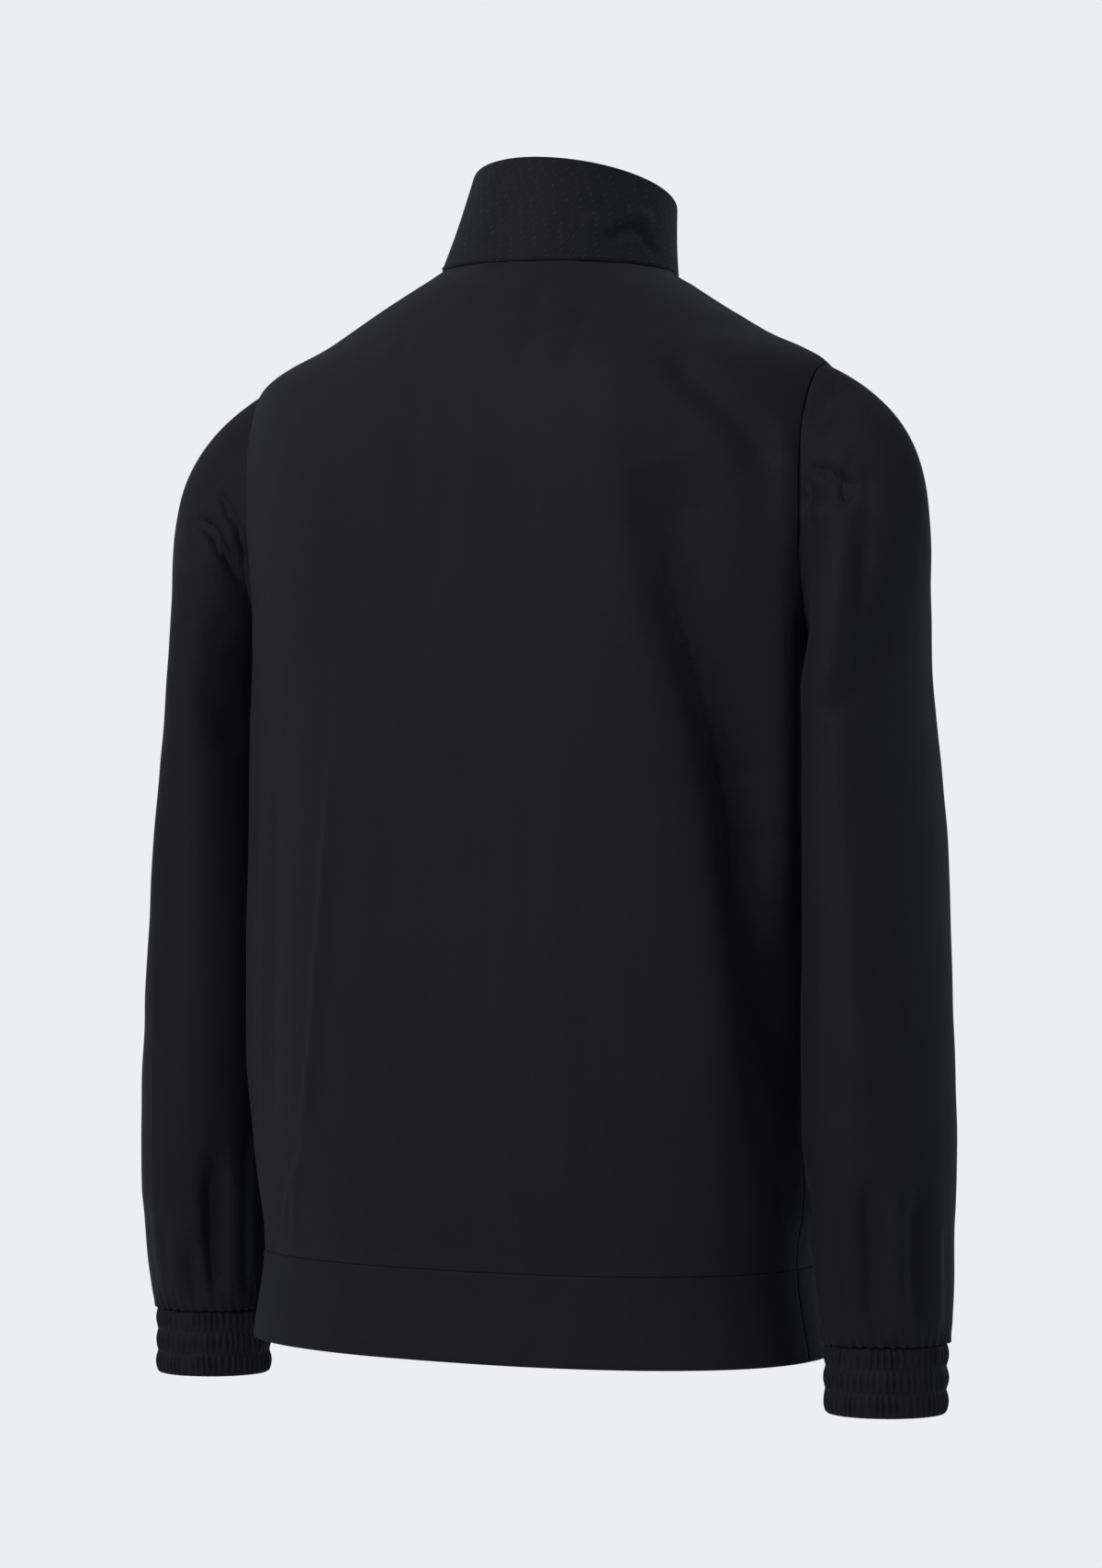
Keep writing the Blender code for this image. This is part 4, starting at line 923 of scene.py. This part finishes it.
def plain_sleeve(angle, place, side):
    """The sleeve without folds. place is 0 at the armhole, 1 at the biceps and 2 at the wrist. The cap is a
    cubic curve for each angle, which leaves the armhole in a set direction and arrives along the tube."""
    angle, place = np.broadcast_arrays(np.asarray(angle, float), np.asarray(place, float))
    start, into, out = armhole_frame(angle, side)
    ways = {0.0: CAP_TOP, 0.5 * pi: CAP_BACK, pi: CAP_UNDER, 1.5 * pi: CAP_FRONT}
    leaving = sum(
        np.maximum(np.cos(angle - middle), 0)[..., None] ** 2 * np.array(way)
        for middle, way in ways.items()
    )
    strength = leaving[..., 3:]
    leave = unit(leaving[..., :3] * np.array([side, 1.0, -1.0]))
    over, back = (leave * out).sum(-1, keepdims=True), -(leave * into).sum(-1, keepdims=True)
    turned = CAP_TURNED * np.maximum(back, 0) / over
    start = start + into * (CAP_CLEAR + SHELL_CLOTH / 2 * (over + turned))
    end = sleeve_ring(angle, np.full(angle.shape, BICEPS), side)
    arrive = unit(sleeve_ring(angle, np.full(angle.shape, BICEPS + 0.002), side) - end)
    reach = np.linalg.norm(end - start, axis=-1, keepdims=True)
    t = np.clip(place, 0, 1)[..., None]
    cap = (
        (2 * t**3 - 3 * t**2 + 1) * start
        + (t**3 - 2 * t**2 + t) * leave * reach * strength
        + (3 * t**2 - 2 * t**3) * end
        + (t**3 - t**2) * arrive * reach * CAP_ARRIVE
    )
    tube = sleeve_ring(angle, BICEPS + (WRIST - BICEPS) * (np.clip(place, 1, 2) - 1), side)
    return np.where((place <= 1)[..., None], cap, tube)


def sleeve_place(angle, place, side):
    """The plain sleeve's point at an angle in degrees and a place."""
    return plain_sleeve(np.array(radians(angle)), np.array(place), side)


def sleeve_point(angle, height, side):
    """The plain sleeve's point at an angle in degrees that is nearest to a height."""
    places = np.linspace(0, 2, 401)
    track = plain_sleeve(np.full(places.shape, radians(angle)), places, side)
    return track[np.argmin(np.abs(track[:, 2] - height))]


# Paths of (angle, place): a place is 0 at the armhole, 1 at the biceps and 2 at the wrist.
LEFT_SLEEVE_CREASES = (
    (((58, 0.17), (72, 0.14), (86, 0.08), (101, 0.01)), 0.0028, 0.0030, -0.0022),
    (((56, 0.20), (70, 0.18), (84, 0.12), (98, 0.05)), 0.0040, 0.0040, 0.0007),
    (((60, 0.34), (72, 0.27), (90, 0.20), (114, 0.08)), 0.0044, 0.0034, -0.0062),
    (((54, 0.29), (70, 0.21), (86, 0.14), (106, 0.05)), 0.0060, 0.0050, 0.0011),
    (((66, 0.50), (84, 0.40), (104, 0.30), (124, 0.14)), 0.0070, 0.0080, 0.0020),
    (((74, 0.66), (92, 0.60), (112, 0.52), (132, 0.40)), 0.0090, 0.0070, -0.0018),
    (((60, 1.10), (68, 1.35), (74, 1.60)), 0.012, 0.009, 0.0016),
    (((90, 1.05), (96, 1.30), (100, 1.60)), 0.009, 0.012, -0.0014),
    (((36, 0.40), (40, 0.90), (38, 1.40)), 0.012, 0.014, -0.0016),
    (((134, 1.70), (132, 1.85), (130, 2.00)), 0.0083, 0.0083, -0.0040),
    (((116, 1.86), (114, 1.93), (112, 2.00)), 0.0060, 0.0067, -0.0019),
    (((124, 1.78), (122, 1.90), (121, 2.00)), 0.0060, 0.0060, 0.0014),
    (((98, 1.82), (97, 1.92), (96, 2.00)), 0.0075, 0.0075, 0.0010),
    (((152, 1.74), (152, 1.88), (151, 2.00)), 0.0105, 0.0075, 0.0015),
    (((84, 1.84), (84, 1.92), (84, 2.00)), 0.0075, 0.0060, -0.0012),
    (((46, 1.80), (44, 1.90), (43, 2.00)), 0.0075, 0.0090, -0.0015),
    (((14, 1.74), (12, 1.88), (10, 2.00)), 0.0090, 0.0075, -0.0014),
    (((284, 0.36), (258, 0.26), (230, 0.12)), 0.0050, 0.0060, -0.0036),
    (((292, 0.62), (266, 0.52), (240, 0.40)), 0.0080, 0.0070, -0.0018),
    (((318, 0.50), (314, 1.00), (318, 1.50)), 0.012, 0.012, 0.0016),
    (((220, 1.70), (216, 1.85), (214, 2.00)), 0.0090, 0.0090, -0.0016),
    (((334, 1.76), (336, 1.88), (336, 2.00)), 0.0090, 0.0075, -0.0016),
    (((262, 1.80), (264, 1.90), (264, 2.00)), 0.0075, 0.0075, 0.0012),
    (((294, 1.78), (292, 1.90), (291, 2.00)), 0.0075, 0.0090, -0.0014),
)
RIGHT_SLEEVE_CREASES = (
    (((10, 0.070), (26, 0.070), (42, 0.070), (58, 0.075)), 0.0110, 0.0090, -0.0046),  # beside the armhole
    (((76, 0.070), (69, 0.120), (62, 0.220), (55, 0.300), (58, 0.390)), 0.0042, 0.0040, -0.0048),
    (((86, 0.160), (80, 0.220), (74, 0.290)), 0.0060, 0.0060, 0.0018),
    (((60, 0.150), (52, 0.200), (46, 0.270)), 0.0070, 0.0060, 0.0016),
    (((37, 0.280), (43, 0.480), (49, 0.696), (57, 0.980)), 0.0090, 0.0080, -0.0036),
    (((56, 0.420), (60, 0.650), (65, 0.900), (66, 1.300)), 0.0100, 0.0100, 0.0026),
    (((20, 0.600), (32, 0.840), (54, 0.960), (82, 1.040)), 0.0110, 0.0090, -0.0012),
    (((18, 0.440), (26, 0.640), (36, 0.800)), 0.0090, 0.0090, 0.0012),
    (((30, 1.150), (36, 1.350), (33, 1.600)), 0.011, 0.009, 0.0016),
    (((44, 1.120), (50, 1.350), (50, 1.620)), 0.010, 0.010, -0.0018),
    (((66, 1.300), (68, 1.500), (68, 1.700)), 0.008, 0.008, 0.0014),
    (((61, 1.700), (65, 1.850), (72, 2.000)), 0.0090, 0.0090, -0.0044),
    (((25, 1.720), (26, 1.860), (29, 2.000)), 0.0090, 0.0075, -0.0038),
    (((44, 1.740), (46, 1.870), (49, 2.000)), 0.0090, 0.0090, 0.0016),
    (((8, 1.780), (8, 1.890), (7, 2.000)), 0.0090, 0.0075, 0.0012),
    (((356, 1.800), (354, 1.900), (353, 2.000)), 0.0075, 0.0075, -0.0016),
    (((86, 1.780), (89, 1.890), (92, 2.000)), 0.0075, 0.0075, 0.0014),
    (((104, 1.760), (106, 1.880), (107, 2.000)), 0.0075, 0.0090, -0.0016),
    (((142, 1.740), (144, 1.870), (145, 2.000)), 0.0105, 0.0090, -0.0019),
    (((284, 0.36), (258, 0.26), (230, 0.12)), 0.0050, 0.0060, -0.0036),
    (((296, 0.58), (270, 0.50), (242, 0.36)), 0.0080, 0.0070, -0.0020),
    (((316, 0.55), (312, 1.00), (316, 1.45)), 0.012, 0.012, 0.0016),
    (((222, 1.70), (218, 1.85), (216, 2.00)), 0.0090, 0.0090, -0.0016),
    (((330, 1.78), (332, 1.89), (332, 2.00)), 0.0090, 0.0075, -0.0014),
    (((266, 1.80), (268, 1.90), (268, 2.00)), 0.0075, 0.0075, 0.0012),
    (((298, 1.78), (296, 1.90), (295, 2.00)), 0.0075, 0.0090, -0.0015),
)
SLEEVE_POINTS = 124  # round the sleeve
CAP_LENGTH, CAP_SPACING = 0.20, 0.0030  # about how long the cap is, and its rows' spacing
FOLD_CALM = 0.06  # the large folds die out over this much of a place at either end
SLEEVE_CALM = 0.006  # the creases die out over this distance at either end
WRIST_GATHERS = 38
WRIST_GATHER_RISE, WRIST_GATHER_REACH = 0.0013, 0.0095


def make_sleeve(side, word, cloth):
    folds = LEFT_SLEEVE_FOLDS if side > 0 else RIGHT_SLEEVE_FOLDS
    creases = LEFT_SLEEVE_CREASES if side > 0 else RIGHT_SLEEVE_CREASES
    large = fold_lines(folds, lambda angle, height: sleeve_point(angle, height, side))
    lines = crease_lines(creases, lambda angle, place: sleeve_place(angle, place, side))
    angles = np.linspace(0, 2 * pi, SLEEVE_POINTS, endpoint=False)
    cap = even_shares(CAP_LENGTH, (True, False), CAP_SPACING)[:-1]
    tube = 1 + even_shares(WRIST - BICEPS, (False, True))
    angles, places = np.meshgrid(angles, np.concatenate([cap, tube]))
    points = plain_sleeve(angles, places, side)
    centre = points.mean(1, keepdims=True)
    away = unit(points - centre)
    normals = grid_normals(points, True, away)
    rise = fold_rise(points, large) * np.clip(np.minimum(places, 2 - places) / FOLD_CALM, 0, 1)
    shaped = points + normals * rise[..., None]
    normals = grid_normals(shaped, True, away)
    distance = edge_distance(points, True, ("foot", "top"))
    fine = crease_rise(points, normals, lines) * np.clip(distance / SLEEVE_CALM, 0, 1)
    fine += waves(points, SLEEVE_WAVES)
    fine += wrist_gathers(angles, points, side)
    fine += seam_puckers(points, distance, *SLEEVE_PUCKERS)
    points = shaped + normals * fine[..., None]
    normals = grid_normals(points, True, away)
    return shell(f"sleeve_{word}_cloth", points, normals, SHELL_CLOTH, True, cloth, ("foot", "top"))


def wrist_gathers(angles, points, side):
    """Ripples that run up from the cuff and die out, uneven in height and reach."""
    up = points[..., 2] - (SLEEVE["height"][-1] + wrist_lift(side))
    phase = 2.2 * unevenness(np.stack([np.cos(angles), np.sin(angles), 0 * angles], -1), 0.7, 11)
    reach = WRIST_GATHER_REACH * (1 + 0.6 * unevenness(points * np.array([1, 1, 0]), 0.016, 12))
    return WRIST_GATHER_RISE * np.cos(WRIST_GATHERS * angles + phase) * np.exp(-np.maximum(up, 0) / reach)


# ---------------------------------------------------------------- the cuffs
def make_cuff(side, word, cloth):
    """Three stitched channels of gathered cloth: each swells between its lines, and its gathers wander."""
    top, bottom = CUFF_TOP + wrist_lift(side), CUFF_BOTTOM + wrist_lift(side)
    height = (top - bottom) / CUFF_CHANNELS
    down = np.linspace(0, CUFF_CHANNELS, CUFF_ROWS)
    angles, down = np.meshgrid(np.linspace(0, 2 * pi, GATHER_POINTS * GATHERS, endpoint=False), down)
    channel = np.minimum(np.floor(down), CUFF_CHANNELS - 1)
    share = down - channel
    swell = np.sin(pi * share)
    phase = pi * (channel % 2) + 0.6 * channel
    ring = np.stack([np.cos(angles), np.sin(angles), 0.4 * channel], -1)
    slant = np.stack([np.cos(angles), np.sin(angles), 0.3 * down], -1)
    wander = 1.9 * unevenness(ring, 0.30, 21) + 1.1 * unevenness(slant, 0.16, 22)
    strength = 0.72 + 0.42 * unevenness(ring, 0.14, 24)
    wave = np.cos(GATHERS * angles + phase + wander)
    gather = np.sign(wave) * np.abs(wave) ** GATHER_PEAK
    held = GATHER_LEAST + (1 - GATHER_LEAST) * swell
    radius = CUFF_RADIUS + CHANNEL_SWELL * swell + GATHER_RISE * gather * strength * held
    radius += 0.00025 * unevenness(np.stack([np.cos(angles) * 8, np.sin(angles) * 8, down], -1), 0.5, 23)
    x = side * SLEEVE["centre_x"][-1] + radius * np.cos(angles)
    y = SLEEVE["centre_y"][-1] + radius * np.sin(angles)
    points = np.stack([x, y, top - height * down], -1)
    away = np.stack([np.cos(angles), np.sin(angles), 0 * angles], -1)
    normals = grid_normals(points, True, away)
    middle = points - away * DOUBLE_CLOTH / 2
    rows = [int(round(k * (len(down) - 1) / CUFF_CHANNELS)) for k in range(1, CUFF_CHANNELS)]
    lines = [(points[row], away[row]) for row in rows]
    return shell(f"cuff_{word}_cloth", middle, away, DOUBLE_CLOTH, True, cloth, ("foot", "top")), lines


# ---------------------------------------------------------------- the zip
def front_line(beyond):
    """The middle of the left front's cloth at a distance from the centre line, from the hem to the collar's
    edge."""
    rows = NECK_ROW * np.linspace(0, 1, 240)[:-1]
    width = through(BODY_ROWS, BODY["half_width"], rows)
    low = body(np.arcsin(beyond / width) - pi / 2, rows)
    shares = np.linspace(0, 1, 30)
    width = BODY["half_width"][-1] + (COLLAR_TOP["half_width"] - BODY["half_width"][-1]) * shares
    return np.concatenate([low, collar(np.arcsin(beyond / width) - pi / 2, shares)])


class FrontLine:
    """The cloth's edge at the centre front as a line in y and z. Offsets are measured outwards from it."""

    def __init__(self):
        edge, beside = front_line(FRONT_EDGE), front_line(TAPE_REACH)
        self.line = edge[:, 1:]
        self.lean = (beside[:, 1:] - edge[:, 1:]) / (beside[:, :1] - edge[:, :1])
        way = unit(np.gradient(self.line, axis=0))
        self.out = np.stack([-way[:, 1], way[:, 0]], -1)
        self.place = path_lengths(self.line, 0)

    def read(self, values, at):
        return np.stack([np.interp(at, self.place, values[:, k]) for k in (0, 1)], -1)

    def point(self, at, x, offset):
        """Points at distances up the line, out to the side by x, and outwards by an offset."""
        at, x, offset = np.broadcast_arrays(np.asarray(at, float), x, offset)
        beyond = np.maximum(np.abs(x) - FRONT_EDGE, 0)[..., None]
        flat = self.read(self.line, at) + self.read(self.lean, at) * beyond
        flat = flat + self.read(self.out, at) * offset[..., None]
        return np.concatenate([x[..., None], flat], -1)


def parting(front, at):
    """Half the space between the two sides of the zip: nothing below the slider, and parted above it."""
    slider_at = front.place[-1] - SLIDER_DOWN
    share = np.clip((at - slider_at + PARTING_START) / PARTING_LENGTH, 0, 1)
    return SEAM_GAP / 2 + (COIL_PARTED - SEAM_GAP / 2) * share


def make_tape(front, side, word, tape):
    """A tape from the collar's edge to the hem. At its foot it runs on beside the box."""
    beside_box = np.linspace(TAPE_END, ZIP_FOOT - SEAM_GAP, 5)
    above_box = np.linspace(ZIP_FOOT - SEAM_GAP / 3, front.place[-1] - ZIP_HEAD, 300)
    at = np.concatenate([beside_box, above_box])[:, None]
    share = np.linspace(0, 1, 9)[None, :]
    near = np.where(at < ZIP_FOOT - SEAM_GAP / 2, BOX_HALF + SEWN_GAP, parting(front, at))
    x = side * (near + (TAPE_REACH - near) * share)
    middle = front.point(at, x, (TAPE_FACE + TAPE_BACK) / 2)
    away = np.broadcast_to([0.0, -1.0, 0.0], middle.shape)
    normals = grid_normals(middle, False, away)
    return shell(f"zip_tape_{word}_cloth", middle, normals, TAPE_FACE - TAPE_BACK, False, tape, ALL_EDGES)


def make_coil(front, side, word, finish):
    """One side of the coil: flattened loops in a row, each a rounded oval standing across the zip."""
    low, high = ZIP_FOOT + COIL_PITCH, front.place[-1] - ZIP_HEAD - COIL_PITCH
    loops = np.arange(low, high, COIL_PITCH) + (COIL_PITCH / 2 if side > 0 else 0)
    turn = np.linspace(0, 2 * pi, 12, endpoint=False)
    along = np.array(COIL_ALONG)[None, :, None]
    size = np.array(COIL_SIZE)[None, :, None]
    half_wide, half_tall = COIL_WIDTH / 2, (COIL_FACE - TAPE_FACE) / 2 - COIL_CLEAR
    at = loops[:, None, None] + along * COIL_PITCH / 2
    x = parting(front, at) + half_wide + half_wide * size * np.cos(turn)
    offset = (COIL_FACE + TAPE_FACE) / 2 + COIL_CLEAR + half_tall * size * np.sin(turn)
    points = front.point(at, side * x, offset)
    return put_many(f"zip_coil_{word}", points, finish)


# ---------------------------------------------------------------- stitching
def line_beside(points, normals, edge, away, lift):
    """A line on a panel at a distance from one of its edges, lifted off the middle of its cloth, with the
    line's normals."""
    if edge in ("left", "right"):
        points, normals = points.swapaxes(0, 1), normals.swapaxes(0, 1)
    if edge in ("top", "right"):
        points, normals = points[::-1], normals[::-1]
    reach = path_lengths(points, 0)
    after = np.maximum(np.argmax(reach > away, 0), 1)
    column = np.arange(reach.shape[1])
    low, high = reach[after - 1, column], reach[after, column]
    share = ((away - low) / (high - low))[:, None]
    facing = normals[after, column]
    line = points[after - 1, column] * (1 - share) + points[after, column] * share
    return line + facing * lift, facing


def stitches(name, lines, thread, radius=STITCH_RADIUS, pitch=STITCH_PITCH, length=STITCH_LENGTH):
    """Rows of stitches in one mesh. Each is a short thread that bows out of the cloth and dips into it."""
    turn = np.linspace(0, 2 * pi, 6, endpoint=False)
    along, thick = np.array(THREAD_ALONG), np.array(THREAD_SIZE)
    made = []
    for line, facing in lines:
        place = path_lengths(line, 0)
        at = np.arange(pitch, place[-1] - pitch, pitch)[:, None] + along * length
        middle = np.stack([np.interp(at, place, line[:, k]) for k in range(3)], -1)
        out = unit(np.stack([np.interp(at, place, facing[:, k]) for k in range(3)], -1))
        way = unit(middle[:, -1:] - middle[:, :1])
        beside = unit(np.cross(way, out))
        middle = middle + out * (radius * (THREAD_LIFT - THREAD_DIP * along**2))[None, :, None]
        round_it = beside[:, :, None] * np.cos(turn)[:, None] + out[:, :, None] * np.sin(turn)[:, None]
        made.append(middle[:, :, None] + round_it * (radius * thick)[None, :, None, None])
    return put_many(name, np.concatenate(made), thread)


# ---------------------------------------------------------------- the studio
CAMERA_WAY = radians(213)
CAMERA_DISTANCE, CAMERA_ASIDE, CAMERA_HEIGHT = 3.4, 0.0054, -0.3276
SENSOR, LENS = 36.0, 119.5
BACKDROP = (0.846, 0.854, 0.888)
AIM = Vector((0, 0.03, -0.33))  # the middle of the jacket, which the lights face
# Each light: name, way from the origin (right, towards the camera, up), size, power and colour
LIGHTS = (
    ("key", (-1.40, 1.5, 0.8), (1.4, 1.8), 11.0, (1.0, 0.94, 1.0)),
    ("rim", (-2.40, -1.0, 0.3), (0.8, 2.0), 1.2, (0.97, 0.98, 1.0)),
    ("top", (0.0, 0.4, 2.6), (2.0, 2.0), 3.0, (1.0, 0.97, 1.0)),
)
FILL_COLOUR, FILL_STRENGTH = (0.80, 0.88, 1.0, 1), 0.27
FLOOR_RADIUS, FLOOR_HEIGHT, FLOOR_SIDES = 3.2, -1.45, 96


def image_axes():
    """The way from the object to the camera, and the picture's right."""
    towards = Vector((sin(CAMERA_WAY), -cos(CAMERA_WAY), 0))
    return towards, Vector((-sin(CAMERA_WAY - pi / 2), cos(CAMERA_WAY - pi / 2), 0))


def make_camera():
    towards, right = image_axes()
    camera = bpy.data.cameras.new("camera")
    camera.sensor_fit = "VERTICAL"
    camera.sensor_height = SENSOR
    camera.lens = LENS
    made = bpy.data.objects.new("camera", camera)
    made.location = towards * CAMERA_DISTANCE - right * CAMERA_ASIDE + Vector((0, 0, CAMERA_HEIGHT))
    made.rotation_euler = (pi / 2, 0, CAMERA_WAY)
    bpy.context.scene.collection.objects.link(made)
    bpy.context.scene.camera = made


def make_light(name, place, size, power, colour):
    light = bpy.data.lights.new(name, "AREA")
    light.shape = "RECTANGLE"
    light.size, light.size_y = size
    light.energy = power
    light.color = colour
    made = bpy.data.objects.new(name, light)
    made.location = place
    made.rotation_euler = (AIM - place).to_track_quat("-Z", "Y").to_euler()
    bpy.context.scene.collection.objects.link(made)


def make_studio():
    towards, right = image_axes()
    up = Vector((0, 0, 1))
    for name, (aside, ahead, high), size, power, colour in LIGHTS:
        make_light(name, right * aside + towards * ahead + up * high, size, power, colour)
    world = bpy.data.worlds.new("studio")
    world.use_nodes = True
    tree = world.node_tree
    seen = tree.nodes["Background"]
    seen.inputs["Color"].default_value = (*BACKDROP, 1)
    fill = tree.nodes.new("ShaderNodeBackground")
    fill.inputs["Color"].default_value = FILL_COLOUR
    fill.inputs["Strength"].default_value = FILL_STRENGTH
    path = tree.nodes.new("ShaderNodeLightPath")
    mix = tree.nodes.new("ShaderNodeMixShader")
    tree.links.new(path.outputs["Is Camera Ray"], mix.inputs[0])
    tree.links.new(fill.outputs[0], mix.inputs[1])
    tree.links.new(seen.outputs[0], mix.inputs[2])
    tree.links.new(mix.outputs[0], tree.nodes["World Output"].inputs["Surface"])
    bpy.context.scene.world = world
    bpy.context.scene.view_settings.view_transform = "Standard"
    turn = np.linspace(0, 2 * pi, FLOOR_SIDES, endpoint=False)
    level = np.full(FLOOR_SIDES, FLOOR_HEIGHT)
    rim = np.stack([FLOOR_RADIUS * np.cos(turn), FLOOR_RADIUS * np.sin(turn), level], -1)
    pale = plain_finish("pale_floor", (0.80, 0.81, 0.84), 0.9)
    floor = put_mesh("floor", rim, [list(range(FLOOR_SIDES))], pale, False)


# ---------------------------------------------------------------- putting it together
# Dark and light tone of each cloth, and the colours of the small hard pieces
SHELL_TONES = (0.0104, 0.0091, 0.0128), (0.0174, 0.0150, 0.0208)
BAND_TONES = (0.0102, 0.0093, 0.0125), (0.0168, 0.0152, 0.0202)
KNIT_TONES = (0.0095, 0.0092, 0.0112), (0.0340, 0.0330, 0.0370)
TAPE_TONES = (0.0080, 0.0078, 0.0090), (0.0150, 0.0146, 0.0165)
THREAD_COLOUR, NYLON_COLOUR = (0.0300, 0.0285, 0.0330), (0.0140, 0.0140, 0.0150)
METAL_COLOUR = (0.0120, 0.0120, 0.0130)
THREAD_GRAIN = 0.0001


def wear(piece, node):
    """The piece stands for a node of the frame and moves with the jacket."""
    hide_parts(node)
    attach(piece, "jacket")


def make_jacket():
    cloth = woven_cloth("woven_shell", *SHELL_TONES, 0.66, 0.05)
    band = woven_cloth("woven_band", *BAND_TONES, 0.68, 0.05)
    knit = dotted_knit("dotted_knit", *KNIT_TONES)
    thread = plain_finish("stitching_thread", THREAD_COLOUR, 0.55, THREAD_GRAIN)
    back, fronts, front_lines = make_body(cloth)
    wear(back, "back")
    for front, side in zip(fronts, ("left", "right")):
        wear(front, f"front_{side}")
    bands, band_lines = make_hem_band(band)
    for piece, word in zip(bands, ("back", "left", "right")):
        wear(piece, f"hem_band_{word}")
        0.52 if word == "back" else 0.26
    collar_piece, collar_lines = make_collar(knit)
    wear(collar_piece, "collar")
    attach(stitches("stitching_fronts", front_lines + band_lines, thread), "jacket")
    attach(stitches("stitching_collar", collar_lines, thread, COLLAR_THREAD), "jacket")
    for side, word in ((1, "left"), (-1, "right")):
        sleeve = make_sleeve(side, word, cloth)
        wear(sleeve, f"sleeve_{word}")
        cuff, cuff_lines = make_cuff(side, word, cloth)
        wear(cuff, f"cuff_{word}")
        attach(stitches(f"stitching_cuff_{word}", cuff_lines, thread), "jacket")
    make_zip()


def make_zip():
    tape = woven_cloth("zip_tape_weave", *TAPE_TONES, 0.66, 0.05)
    nylon = plain_finish("zip_coil_nylon", NYLON_COLOUR, 0.38, THREAD_GRAIN)
    front = FrontLine()
    for side, word in ((1, "left"), (-1, "right")):
        node = f"zip_tape_{word}"
        piece = make_tape(front, side, word, tape)
        wear(piece, node)
        wear(make_coil(front, side, word, nylon), node)
    metal = painted_metal("zip_black_metal", METAL_COLOUR)
    for node in ("zip_box", "zip_slider", "zip_pull"):
        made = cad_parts[node]
        made.data.materials.clear()
        made.data.materials.append(metal)


make_camera()
make_studio()
make_jacket()
